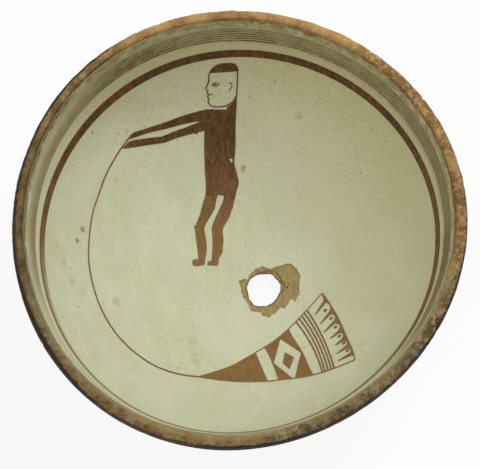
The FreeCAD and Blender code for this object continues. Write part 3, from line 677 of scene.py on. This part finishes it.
def white_slip():
    """Smoothed matt slip: pale olive cream, faintly clouded, stained and finely pitted, with painted shade
    on the far and upper-right wall and on its broken top edge.
    """
    finish = Finish("white slip")
    across, back, up = finish.axes()
    cloud = finish.grain(38.0, 4.0, 0.55, seed=1.0)
    streak = finish.grain(9.0, 4.0, 0.6, stretch=(1.0, 0.35, 1.0), turn=(0.0, 0.0, 0.5), seed=2.0)
    finish.start("#C8CAAF", "#C0C09F", cloud.above(0.38, 0.62) * 0.8)
    finish.lay("#CDCFAF", streak.above(0.48, 0.66) * 0.5)
    # Painted shade: the slip darker and yellower towards the upper-right wall, which faces away from the key
    # lamp
    finish.lay("#C3BB8C", (across + back * 0.7).above(0.0, 120.0 * MM) * 0.5)
    upper_wall = up.above(72.0 * MM, 97.0 * MM)
    toned = finish.grain(16.0, 4.0, 0.6, stretch=(1.0, 1.0, 0.5), seed=5.0)
    far_side = finish.sector(85.0, 35.0, 95.0)
    near_side = finish.sector(258.0, 38.0, 68.0)
    # Painted shade: the far wall darker from its middle height up
    finish.lay("#A89D6C", up.above(34.0 * MM, 86.0 * MM) * far_side * 0.63)
    finish.lay("#A59A6E", upper_wall * toned.above(0.38, 0.6) * 0.6)
    wash = finish.grain(9.0, 4.0, 0.6, stretch=(1.0, 1.0, 1.6), seed=15.0)
    between = up.above(79.5 * MM, 83.0 * MM) * up.below(94.5 * MM, 98.0 * MM)
    between = between * (0.4 + 0.6 * wash.above(0.38, 0.58)) * (1.0 - 0.8 * near_side)
    beside = finish.sector(178.0, 35.0, 70.0) + finish.sector(0.0, 35.0, 70.0)
    smoked = finish.sector(178.0, 26.0, 48.0)
    between = between * (1.0 - 0.75 * smoked * up.above(87.0 * MM, 92.0 * MM))
    finish.lay("#86774F", between * (0.50 + 0.16 * beside))
    freckled = finish.grain(30.0, 2.0, 0.5, seed=8.0).above(0.42, 0.58)
    far_wall = far_side * up.above(18.0 * MM, 60.0 * MM)
    ochre = finish.grain(2.0, 3.0, 0.62, seed=7.0).above(0.57, 0.65)
    finish.lay("#A58342", ochre * (0.06 + 0.14 * freckled + 0.36 * far_wall))
    rust = finish.grain(1.2, 2.0, 0.6, seed=9.0).above(0.61, 0.68)
    finish.lay("#86602E", rust * (0.08 + 0.14 * freckled + 0.38 * far_wall))
    wobble = (finish.grain(1.6, 3.0, 0.6, seed=11.0) - 0.5) * (2.4 * MM)
    marks(finish, GREY_SMUDGES, "#85836A", wobble)
    marks(finish, RUST_BLOOMS, "#B0904E", wobble)
    marks(finish, BROWN_MARKS, "#7C6634", wobble)
    marks(finish, DARK_SPECKS, "#4A4232", wobble * 0.4)
    marks(finish, SOOT_PATCHES, "#4E4A36", wobble)
    speck = finish.cells(6.0, seed=3.0).below(0.035, 0.065)
    chance = finish.grain(11.0, 1.0, 0.5, seed=4.0).above(0.48, 0.54)
    finish.lay("#6E6143", speck * chance * 0.75)
    dust = finish.grain(1.1, 3.0, 0.7, seed=12.0)
    finish.lay("#A9AA82", dust.above(0.46, 0.64) * 0.36)
    grit_tone = finish.grain(0.6, 2.0, 0.7, seed=17.0)
    finish.lay("#DCDCBE", grit_tone.above(0.48, 0.66) * 0.24)
    crackle = finish.cells(3.1, "DISTANCE_TO_EDGE", seed=6.0)
    fine = crackle.below(0.0, 0.035) * finish.grain(20.0, 2.0, 0.5, seed=13.0).above(0.46, 0.58)
    finish.lay("#9F9A72", fine * 0.25)
    soil = up.above(93.0 * MM, 99.0 * MM) * (1.0 - 0.6 * near_side)
    finish.lay("#7E7048", soil * finish.grain(5.0, 4.0, 0.6, seed=14.0).above(0.38, 0.56) * 0.7)
    ragged = finish.grain(4.2, 5.0, 0.66, stretch=(1.0, 1.0, 0.55), seed=16.0)
    spilled = finish.sector(78.0, 7.0, 16.0)
    run_on = up + (ragged - 0.5) * (11.0 * MM) + smoked * (4.0 * MM) + spilled * (2.2 * MM)
    finish.lay("#5D4728", run_on.above(103.0 * MM, 103.9 * MM) * 0.85)
    # Painted shade on the slip's broken top edge, dulling the light it catches
    finish.lay("#8B7E57", finish.value("edge").above(0.35, 1.0) * 0.7)
    rough_share = 0.60 + 0.14 * cloud - 0.08 * streak
    height = 0.5 * streak + 0.35 * dust + 0.9 * (1.0 - speck * chance) - 0.25 * fine
    return finish.close(rough_share, height, 0.10 * MM, 0.28)


def iron_paint(name, dark_back, light_back, lightest, faded):
    """Brushed iron paint: dark and thick towards the top of the picture, thinner and lighter below, and
    by a share worn to a thin pale line on the near side of the wall."""
    finish = Finish(name)
    across, back, up = finish.axes()
    thin = back.below(light_back, dark_back)
    drift = finish.grain(24.0, 3.0, 0.5, seed=21.0)
    share = (thin + (drift - 0.5) * 0.6).above(-0.08, 1.08) * lightest
    finish.start("#54371D", "#80633A", share)
    streak = finish.grain(2.0, 4.0, 0.6, stretch=(1.0, 0.3, 0.3), turn=(0.0, 0.0, 0.05), seed=22.0)
    finish.lay("#38230F", streak.above(0.49, 0.62) * (0.60 - 0.44 * share))
    finish.lay("#8A6538", streak.below(0.36, 0.48) * 0.26)
    mottle = finish.grain(1.2, 4.0, 0.7, seed=23.0)
    finish.lay("#A47C46", mottle.above(0.53, 0.66) * (0.20 + 0.36 * share))
    finish.lay("#3C2811", mottle.below(0.36, 0.48) * 0.4)
    ember = finish.grain(2.4, 3.0, 0.62, seed=24.0).above(0.58, 0.66)
    finish.lay("#A06628", ember * (0.30 + 0.2 * share))
    worn = finish.grain(0.9, 3.0, 0.7, seed=25.0).above(0.66, 0.73)
    finish.lay("#B5A47A", worn * 0.65)
    near_side = finish.sector(260.0, 34.0, 84.0) * faded
    finish.lay("#8E7B4F", near_side * 0.85)
    finish.lay("#C2C3A3", near_side * up.below(74.1 * MM, 74.8 * MM) * 0.95)
    roughness = 0.68 + 0.14 * streak - 0.10 * mottle
    height = 0.6 * streak + 0.5 * mottle - 0.8 * worn
    return finish.close(roughness, height, 0.06 * MM, 0.2)


def fine_line_paint():
    """The same paint drawn thin with a fine brush, faded and washed out in places."""
    finish = Finish("fine line paint")
    across, back, up = finish.axes()
    drift = finish.grain(26.0, 3.0, 0.5, seed=31.0)
    finish.start("#553C1E", "#77603A", drift.above(0.4, 0.6))
    fleck = finish.grain(1.6, 4.0, 0.65, seed=32.0)
    finish.lay("#3F2B14", fleck.above(0.48, 0.62) * 0.6)
    outer = up.above(84.0 * MM, 93.0 * MM)
    faded = finish.grain(6.5, 4.0, 0.62, seed=33.0)
    finish.lay("#8E8058", (faded + outer * 0.12).above(0.48, 0.64) * 0.8)
    beside = finish.sector(180.0, 26.0, 58.0) + finish.sector(0.0, 26.0, 58.0)
    finish.lay("#8A7A54", beside * 0.7)
    finish.lay("#ABA480", finish.sector(186.0, 34.0, 62.0) * outer * 0.8)
    finish.lay("#BFBE9B", finish.sector(258.0, 44.0, 78.0) * 0.94)
    return finish.close(0.70 - 0.1 * fleck, fleck, 0.05 * MM, 0.2)


def lip_paint():
    """Worn paint on the lip: ochre brown on the far side, smoked dark on the left, greyed and lumpy on
    the near side, with painted shadow along its outer edge."""
    finish = Finish("lip paint")
    across = finish.value("across")
    top = finish.sector(88.0, 46.0, 74.0)
    right = finish.sector(12.0, 32.0, 58.0)
    near_right = finish.sector(-52.0, 30.0, 52.0)
    near_left = finish.sector(-118.0, 26.0, 50.0)
    left = finish.sector(175.0, 36.0, 62.0)
    finish.start("#5C4728", "#A6804E", top)
    finish.lay("#7C5B35", right)
    finish.lay("#574729", near_right)
    finish.lay("#6E5632", near_left)
    finish.lay("#5E4C2D", left)
    patch = finish.grain(12.0, 4.0, 0.62, seed=41.0)
    finish.lay("#B39156", patch.above(0.5, 0.6) * (0.12 + 0.5 * top + 0.3 * right))
    finish.lay("#855E34", patch.below(0.42, 0.5) * (0.5 * top + 0.25 * right))
    finish.lay("#3C2D18", patch.below(0.38, 0.48) * (0.6 - 0.5 * top + 0.2 * near_right))
    fleck = finish.grain(2.2, 5.0, 0.7, seed=42.0)
    finish.lay("#BA9E66", fleck.above(0.53, 0.62) * (0.22 + 0.25 * top + 0.3 * right - 0.14 * left))
    finish.lay("#342716", fleck.below(0.38, 0.48) * (0.6 - 0.35 * top))
    ashen = finish.grain(5.0, 3.0, 0.6, seed=43.0).above(0.53, 0.63)
    finish.lay("#6E7066", ashen * (0.04 + 0.6 * near_right + 0.16 * near_left))
    lumps = finish.grain(3.8, 3.0, 0.62, seed=44.0)
    zone = finish.grain(20.0, 2.0, 0.5, seed=45.0).above(0.44, 0.56)
    pale_share = 0.12 + 0.36 * near_right + 0.25 * near_left + 0.3 * right
    finish.lay("#9A8F68", lumps.above(0.50, 0.61) * (0.1 + 0.9 * zone) * pale_share)
    shelf = across.above(0.45, 0.74) * across.below(0.9, 1.05) * patch.above(0.36, 0.56)
    finish.lay("#8F7C4E", shelf * (0.1 + 0.1 * near_right + 0.35 * near_left))
    worn_edge = (finish.grain(3.0, 4.0, 0.62, seed=46.0) - 0.5) * 0.7
    # Painted shadow along the lip's outer edge, strongest on the left and near side
    darkening = 0.28 * top + 0.9 * (left + near_left + near_right) + 0.5 * right
    outer_edge_shadow = (across + worn_edge * 0.6 - 0.24 * left).below(0.0, 0.2) * darkening
    finish.lay("#2A2218", outer_edge_shadow)
    line_zone = finish.grain(26.0, 3.0, 0.55, seed=47.0).above(0.44, 0.54)
    inner_edge = (across + worn_edge * 0.3).above(0.88, 0.96) * (0.15 + 0.4 * line_zone)
    finish.lay("#4A3018", inner_edge * (0.3 + 0.6 * (top + left)))
    scuffed = (across + worn_edge * 0.5).above(0.78, 1.0) * (near_right + near_left)
    finish.lay("#969069", scuffed * 0.55)
    height = 0.8 * fleck + 0.5 * patch + 0.7 * lumps
    return finish.close(0.78 - 0.12 * fleck, height, 0.35 * MM, 0.15)


def fired_clay():
    """Scraped, unslipped clay: buff and grey-brown, smoked by the fire, pale where it broke inside, with
    painted shade on the near left outer wall and painted shadow along the chip's step and the hole's edge.
    """
    finish = Finish("fired clay")
    across, back, up = finish.axes()
    patch = finish.grain(46.0, 4.0, 0.55, seed=51.0)
    finish.start("#A08762", "#8C7657", patch.above(0.35, 0.65))
    warm = finish.grain(34.0, 3.0, 0.5, seed=52.0).above(0.52, 0.72)
    finish.lay("#A97B52", warm * 0.55)
    wiped = finish.grain(5.5, 5.0, 0.62, stretch=(0.35, 0.35, 1.7), seed=53.0)
    finish.lay("#B9A47C", wiped.above(0.50, 0.66) * 0.5)
    finish.lay("#6F5B42", wiped.below(0.34, 0.47) * 0.45)
    darkening = finish.grain(62.0, 3.0, 0.5, seed=54.0, warp=0.6)
    low_wall = up.below(35.0 * MM, 95.0 * MM)
    finish.lay("#4B443B", darkening.above(0.52, 0.68) * (0.35 + 0.5 * low_wall))
    grit = finish.cells(1.9, seed=55.0).below(0.10, 0.22)
    finish.lay("#D2C6A4", grit * finish.grain(3.0, 1.0, 0.5, seed=56.0).above(0.55, 0.6) * 0.8)
    dark_grit = finish.cells(2.7, seed=57.0).below(0.08, 0.18)
    finish.lay("#3F362B", dark_grit * finish.grain(4.0, 1.0, 0.5, seed=58.0).above(0.52, 0.58) * 0.75)
    splash = finish.grain(7.0, 4.0, 0.6, stretch=(1.0, 1.0, 0.4), seed=59.0)
    run_over = up.above(84.0 * MM, 101.0 * MM) * splash.above(0.46, 0.62)
    finish.lay("#BDB894", run_over * 0.7)
    # Painted shade on the upper outer wall on the near left side
    outer_wall_shade = finish.sector(232.0, 62.0, 92.0) * up.above(74.0 * MM, 96.0 * MM)
    finish.lay("#332B22", outer_wall_shade * finish.grain(14.0, 4.0, 0.6, seed=64.0).above(0.26, 0.5) * 0.9)
    broken = finish.spot(on_floor((270.0, 291.0)), 27.0 * MM, 34.0 * MM) * up.above(2.2 * MM, 4.2 * MM)
    fresh = finish.grain(3.0, 5.0, 0.65, seed=60.0)
    unbroken = finish.base
    finish.start("#A49060", "#8E7D52", fresh.above(0.46, 0.58))
    finish.lay("#75643E", fresh.below(0.38, 0.47) * 0.7)
    finish.lay("#A9774C", finish.spot(on_floor((244.5, 289.0)), 0.4 * MM, 2.0 * MM) * 0.45)
    finish.lay("#3B2E1C", finish.spot(on_floor((287.2, 286.8)), 0.3 * MM, 0.95 * MM) * 0.9)
    # Painted shadow along the chip's step, its edge wobbled by noise
    edge_wobble = (fresh - 0.5) * 1.2
    finish.lay("#4B3B22", (finish.value("from_chip") + edge_wobble).below(0.3, 1.4) * 0.45)
    # Painted shadow round the hole's broken edge
    finish.lay("#30261A", finish.value("from_hole").below(0.4, 1.6) * 0.85)
    finish.base = finish.blend(unbroken, finish.base, broken)
    pitted = finish.grain(2.5, 1.0, 0.5, seed=62.0)
    pores = finish.cells(1.3, seed=61.0).below(0.05, 0.20) * pitted.above(0.5, 0.56)
    scraped = finish.grain(1.3, 4.0, 0.6, stretch=(0.18, 0.18, 1.0), seed=63.0)
    height = 0.7 * scraped + 0.5 * wiped - 0.9 * pores + 0.5 * fresh
    return finish.close(0.80 - 0.12 * wiped, height, 0.28 * MM, 0.2)


# The clay wall

def clay_profile():
    """From the middle of the foot, up the outside, over the lip and down to the middle of the floor."""
    foot = np.array([(0.0, 0.0, 0.0), (FOOT_RADIUS, 0.0, 0.0)])
    low_lip = crossing(outside_curve(), RIM_HEIGHT - LIP_SINK_START)
    inner_lip = CREST + crossing(inside_curve(), RIM_HEIGHT - SLIP_STOP - SLIP_OVERLAP - EDGE_SPARE)
    inside = CLAY_CURVE[inner_lip:]
    floor_start = int(np.argmax(inside[:, 0] < FLOOR_REACH))
    middle = np.array([(FOOT_RADIUS * DISC_SHARE, 0.0, CLAY_CURVE[-1, 2]), (0.0, 0.0, CLAY_CURVE[-1, 2])])
    lip = spaced(CLAY_CURVE[low_lip:inner_lip + 1], LIP_STEPS)
    sunk = raised(lip, -LIP_SINK)
    ease = np.clip(np.minimum(np.arange(LIP_STEPS), np.arange(LIP_STEPS)[::-1]) / 3.0, 0.0, 1.0)[:, None]
    lip = lip * (1.0 - ease) + sunk * ease
    runs = [spaced(foot, FOOT_STEPS), spaced(CLAY_CURVE[:low_lip + 1], OUTSIDE_STEPS)[1:], lip[1:],
            spaced(inside[:floor_start + 1], WALL_STEPS)[1:], spaced(inside[floor_start:], FLOOR_STEPS)[1:],
            spaced(middle, 6)[1:]]
    return np.concatenate(runs)


def scrape_outside(piece):
    """Scraper strokes, coil ripples and a little wear on the outside; the foot only wears inwards."""
    places = get_places(piece)
    normals = get_values(piece, "normal")
    radius, azimuth = polar(places)
    outward = normals[:, 0] * places[:, 0] + normals[:, 1] * places[:, 1] > 0.0
    outer = (outward | (normals[:, 2] < -0.5)) & (places[:, 2] < RIM_HEIGHT - 1.0 * MM)
    for index in np.nonzero(outer)[0]:
        place = Vector(places[index])
        along = Vector((math.cos(azimuth[index]) * 2.2, math.sin(azimuth[index]) * 2.2, place.z * 95.0))
        stroke = noise.fractal(along, 0.9, 2.0, 4)
        ripple = noise.noise(Vector((math.cos(azimuth[index]) * 1.3, math.sin(azimuth[index]) * 1.3,
                                     place.z * 60.0 + 9.0)))
        lump = rough(place, 34.0, 4.0, 3)
        pit = max(0.0, noise.noise(place * 240.0) - 0.42)
        push = (0.34 * stroke + 0.26 * ripple + 0.30 * lump - 1.6 * pit - 0.35) * MM
        if places[index, 2] < 1.2 * MM and radius[index] < FOOT_RADIUS * 1.02:
            wear = max(0.0, 0.15 + 0.35 * lump + 1.2 * pit) * MM
            places[index, 2] += wear if radius[index] < FOOT_RADIUS * 0.93 else 0.0
            continue
        places[index] += normals[index] * push
        places[index, 2] = max(places[index, 2], 0.0)
    set_places(piece, places)


def break_floor(piece):
    """The face left where the slip flaked off round the hole, and the deeper chip beside it."""
    places = get_places(piece)
    near = np.nonzero((np.hypot(places[:, 0], places[:, 1]) < FLOOR_REACH) & (places[:, 2] > 3.0 * MM))[0]
    pixels = seen_pixels(places[near])
    bare = distance_inside(pixels, SPALL_OUTLINE)
    chip = distance_inside(pixels, CHIP_OUTLINE)
    for index, in_bare, in_chip in zip(near, bare, chip):
        if in_bare < 0.3:
            continue
        place = Vector(places[index])
        grain = rough(place, 420.0, 2.0, 3)
        lump = rough(place, 130.0, 6.0, 2)
        depth = min(1.0, in_bare / 4.0) * (0.16 + 0.16 * grain + 0.22 * lump) * MM
        step = min(1.0, max(0.0, in_chip / 1.6))
        depth += step * (0.85 + 0.3 * grain) * CHIP_DEPTH
        places[index, 2] -= max(0.0, depth)
    set_places(piece, places)


def make_clay_wall(material):
    piece = turned("clay_wall", clay_profile())
    push_out_of_round(piece)
    scrape_outside(piece)
    break_floor(piece)
    move_lip(piece)
    edge = broken_outline(HOLE_OUTLINE, 4, 0.7)
    cut_away(piece, sight_cutter("hole_cutter", edge, *HOLE_CUT))
    under_floor = 1.0 + (RIM_HEIGHT - 0.45 * FLOOR_THICKNESS) * math.cos(VIEW_TILT) / EYE_DISTANCE
    cut_away(piece, sight_cutter("flare_cutter", edge, under_floor, FLARE_CUT_END, FLARE_SPREAD))
    places = get_places(piece)
    near = (np.hypot(places[:, 0], places[:, 1]) < FLOOR_REACH) & (places[:, 2] > 1.5 * MM)
    near &= places[:, 2] < FLOOR_HIGHEST
    pixels = seen_pixels(places[near])
    gaps = np.full((2, len(places)), FAR_OFF_PIXELS)
    gaps[0, near] = np.abs(distance_inside(pixels, HOLE_OUTLINE))
    gaps[1, near] = np.abs(distance_inside(pixels, CHIP_OUTLINE))
    give_values(piece, "from_hole", gaps[0])
    give_values(piece, "from_chip", gaps[1])
    finish_piece(piece, "fired_clay", material, "clay_body")
    return piece


# The slip

def slip_profile():
    """Loop of the slip's free face down to the floor's middle and back up its face on the clay."""
    start = CREST + crossing(inside_curve(), RIM_HEIGHT - SLIP_STOP)
    under = CLAY_CURVE[start:]
    face = raised(under, SLIP_COAT)
    face[0, 2] = under[0, 2]
    rim_part = max(2, int(len(face) * 0.10))
    free = np.concatenate([spaced(face[:rim_part], 26), spaced(face[rim_part - 1:], 92)[1:]])
    back = np.concatenate([spaced(under[:rim_part], 22), spaced(under[rim_part - 1:], 44)[1:]])[::-1]
    free_middle = np.array([(0.0, 0.0, free[-1, 2])])
    back_middle = np.array([(0.0, 0.0, under[-1, 2])])
    return np.concatenate([back_middle, back, free, free_middle])


def slip_drop(azimuth):
    """How far the slip's broken top edge falls below its stop line."""
    slow = ring_noise(azimuth, 5.0, 21.0)
    bays = ring_noise(azimuth, 17.0, 22.0)
    fine = ring_noise(azimuth, 60.0, 23.0)
    return (0.75 + 0.55 * slow + 0.75 * bays + 0.35 * fine) * MM


def break_slip_edge(piece):
    places = get_places(piece)
    radius, azimuth = polar(places)
    inside = inside_curve()[::-1]
    low = RIM_HEIGHT - SLIP_STOP - EDGE_REACH
    for index in np.nonzero(places[:, 2] > low)[0]:
        share = min(1.0, (places[index, 2] - low) / EDGE_REACH)
        drop = min(SLIP_OVERLAP - EDGE_SPARE, max(0.0, slip_drop(azimuth[index]))) * share ** 1.5
        height = places[index, 2]
        here = float(np.interp(height, inside[:, 2], inside[:, 0]))
        lower = float(np.interp(height - drop, inside[:, 2], inside[:, 0]))
        places[index, :2] *= 1.0 + (lower - here) / radius[index]
        places[index, 2] -= drop
    set_places(piece, places)


def make_slip(material):
    piece = turned("slip_coat", slip_profile(), 480)
    top = RIM_HEIGHT - SLIP_STOP
    give_values(piece, "edge", np.clip(1.0 - (top - get_places(piece)[:, 2]) / EDGE_SHADE, 0.0, 1.0))
    push_out_of_round(piece)
    break_slip_edge(piece)
    move_lip(piece)
    edge = sight_cutter("spall_cutter", broken_outline(SPALL_OUTLINE, 5, 1.3), *SPALL_CUT)
    cut_away(piece, edge)
    finish_piece(piece, "white_slip", material, "interior_slip")
    return piece


# The painted lip

def lip_curve():
    """The clay's section under the lip paint, from outside over the lip to under the slip's edge."""
    start = crossing(outside_curve(), RIM_HEIGHT - LIP_PAINT_DROP)
    end = CREST + crossing(inside_curve(), RIM_HEIGHT - SLIP_STOP - SLIP_OVERLAP)
    return CLAY_CURVE[start:end + 1]


def lip_profile():
    """Loop of the lip paint's free face and its back, which is let a little into the clay."""
    under = lip_curve()
    free = spaced(raised(under, PAINT_COAT), 68)
    back = spaced(raised(under, -LIP_BACK), 24)[::-1]
    return np.concatenate([free, back, free[:1]])


def height_over_clay(places, curve):
    """How far points, still round, stand out of the clay's section; negative under it."""
    marks_on = spaced(curve, 140)
    along = np.gradient(marks_on, axis=0)
    length = np.hypot(along[:, 0], along[:, 2])
    radius = np.hypot(places[:, 0], places[:, 1])
    gap_in = radius[:, None] - marks_on[None, :, 0]
    gap_up = places[:, 2][:, None] - marks_on[None, :, 2]
    nearest = np.argmin(gap_in ** 2 + gap_up ** 2, axis=1)
    row = np.arange(len(places))
    return (gap_in[row, nearest] * along[nearest, 2] - gap_up[row, nearest] * along[nearest, 0]
            ) / length[nearest]


def lump_lip(piece, curve):
    """Clay lumps, worn hollows and small flaked pits on the painted lip, all taken inwards. Each vertex
    also keeps how far across the lip it lies, from 0 at the outer edge to 1 at the inner."""
    places = get_places(piece)
    radius = np.hypot(places[:, 0], places[:, 1])
    give_values(piece, "across", (RIM_RADIUS - radius) / LIP_WIDTH)
    free = height_over_clay(places, curve) > 0.05 * MM
    normals = get_values(piece, "normal")
    for index in np.nonzero(free & (places[:, 2] > RIM_HEIGHT - LIP_PAINT_DROP + 0.3 * MM))[0]:
        place = Vector(places[index])
        lump = noise.fractal(place * 150.0, 0.9, 2.1, 3)
        pebble = noise.fractal(place * 480.0 + Vector((5.0, 2.0, 1.0)), 0.8, 2.1, 2)
        hollow = max(0.0, noise.noise(place * 210.0 + Vector((9.0, 4.0, 7.0))) - 0.30)
        depth = (0.18 - 0.24 * lump - 0.10 * pebble + 0.5 * hollow) * MM
        places[index] -= normals[index] * min(DEEPEST_PIT, max(0.0, depth))
    set_places(piece, places)


def ragged_edges(piece):
    """The brush left the lip's lower edges uneven."""
    places = get_places(piece)
    radius, azimuth = polar(places)
    inner_side = past_the_crest(places)
    curve = outside_curve()
    for index in np.nonzero(~inner_side & (places[:, 2] < RIM_HEIGHT - LIP_BRUSHED))[0]:
        ring = Vector((math.cos(azimuth[index]), math.sin(azimuth[index]), 0.0))
        share = (RIM_HEIGHT - LIP_BRUSHED - places[index, 2]) / (LIP_PAINT_DROP - LIP_BRUSHED)
        shift = share * (0.9 * noise.noise(ring * 9.0) + 0.5 * noise.noise(ring * 40.0) - 0.3) * MM
        low = float(np.interp(places[index, 2], curve[:, 2], curve[:, 0]))
        lower = float(np.interp(places[index, 2] + shift, curve[:, 2], curve[:, 0]))
        places[index, :2] *= 1.0 + (lower - low) / radius[index]
        places[index, 2] += shift
    set_places(piece, places)


def make_lip(material):
    piece = turned("painted_lip", lip_profile(), LIP_ROUND_STEPS)
    lump_lip(piece, lip_curve())
    push_out_of_round(piece)
    ragged_edges(piece)
    move_lip(piece)
    finish_piece(piece, "lip_paint", material, "lip_paint")
    return piece


def dress_node(name, material):
    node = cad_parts[name]
    if not node.material_slots:
        node.data.materials.append(material)
    for holder in node.material_slots:
        holder.material = material


# The studio

def white_to_camera(finish, plain, white):
    """Shows one shader to the camera, mirrors and glass, and the other to the light."""
    path = finish.node("ShaderNodeLightPath")
    seen = path.number("Is Camera Ray") + path.number("Is Glossy Ray") + path.number("Is Transmission Ray")
    return finish.node("ShaderNodeMixShader", None, {0: seen.above(0.0, 1.0), 1: plain, 2: white}).out()


def make_floor():
    start_clean()
    bpy.ops.mesh.primitive_grid_add(x_subdivisions=24, y_subdivisions=24, size=6.0, location=(0.0, 0.0, 0.0))
    floor = bpy.context.object
    floor.name = "studio_floor"
    finish = Finish("studio floor")
    paper = finish.node("ShaderNodeBsdfDiffuse", None, {"Color": (0.80, 0.80, 0.80, 1.0)})
    glow = finish.node("ShaderNodeEmission", None, {"Color": (1.0, 1.0, 1.0, 1.0), "Strength": 1.0})
    lit = finish.node("ShaderNodeMixShader", None, {0: 0.88, 1: paper.out(), 2: glow.out()})
    above = white_to_camera(finish, paper.out(), lit.out())
    clear = finish.node("ShaderNodeBsdfTransparent")
    under = finish.node("ShaderNodeNewGeometry").number("Backfacing")
    surface = finish.node("ShaderNodeMixShader", None, {0: under, 1: above, 2: clear.out()}).out()
    finish.node("ShaderNodeOutputMaterial", None, {"Surface": surface})
    floor.data.materials.append(finish.material)


def make_world():
    world = bpy.data.worlds.new("studio")
    bpy.context.scene.world = world
    world.use_nodes = True
    finish = Finish("studio", world.node_tree)
    soft = finish.node("ShaderNodeBackground", None, {"Color": (1.0, 1.0, 1.0, 1.0), "Strength": 0.59})
    white = finish.node("ShaderNodeBackground", None, {"Color": (1.0, 1.0, 1.0, 1.0), "Strength": 1.0})
    surface = white_to_camera(finish, soft.out(), white.out())
    finish.node("ShaderNodeOutputWorld", None, {"Surface": surface})


def make_lamp(name, place, aim, size, power):
    start_clean()
    bpy.ops.object.light_add(type="AREA", location=place)
    lamp = bpy.context.object
    lamp.name = name
    lamp.data.shape = "DISK"
    lamp.data.size = size
    lamp.data.energy = power
    lamp.rotation_euler = (Vector(aim) - Vector(place)).to_track_quat("-Z", "Y").to_euler()


def make_camera():
    bpy.ops.object.camera_add(location=EYE, rotation=(VIEW_TILT, 0.0, 0.0))
    camera = bpy.context.object
    camera.data.sensor_fit = "HORIZONTAL"
    camera.data.sensor_width = SENSOR_WIDTH
    camera.data.lens = SENSOR_WIDTH * EYE_DISTANCE / (FRAME_PIXELS[0] * PIXEL_SIZE)
    camera.data.clip_start = 0.01
    bpy.context.scene.camera = camera


make_camera()
make_world()
make_floor()
make_lamp("key_lamp", (0.55, 0.62, 1.05), (0.0, 0.0, 0.05), 0.7, 9.4)
make_lamp("fill_lamp", (-0.7, -0.6, 0.9), (0.0, 0.0, 0.05), 1.0, 4.3)

make_clay_wall(fired_clay())
make_slip(white_slip())
make_lip(lip_paint())

PICTURE = ("figure_body", "figure_hair", "figure_face_line", "figure_mouth_line", "figure_ear_line",
           "figure_eye_line", "figure_pupil", "staff_line", "fan_tip_wedge", "fan_diamond_panel",
           "fan_centre_diamond", "fan_fine_lines", "fan_edge_lines", "fan_fringe_band", "fan_fringe_dots")
brown = iron_paint("iron paint", 92.0 * MM, 4.0 * MM, 1.0, 0.0)
for painted in PICTURE:
    dress_node(painted, brown)
dress_node("wide_framing_band", iron_paint("band paint", 95.0 * MM, -40.0 * MM, 0.6, 1.0))
dress_node("fine_framing_lines", fine_line_paint())

bpy.context.scene.view_settings.view_transform = "Standard"
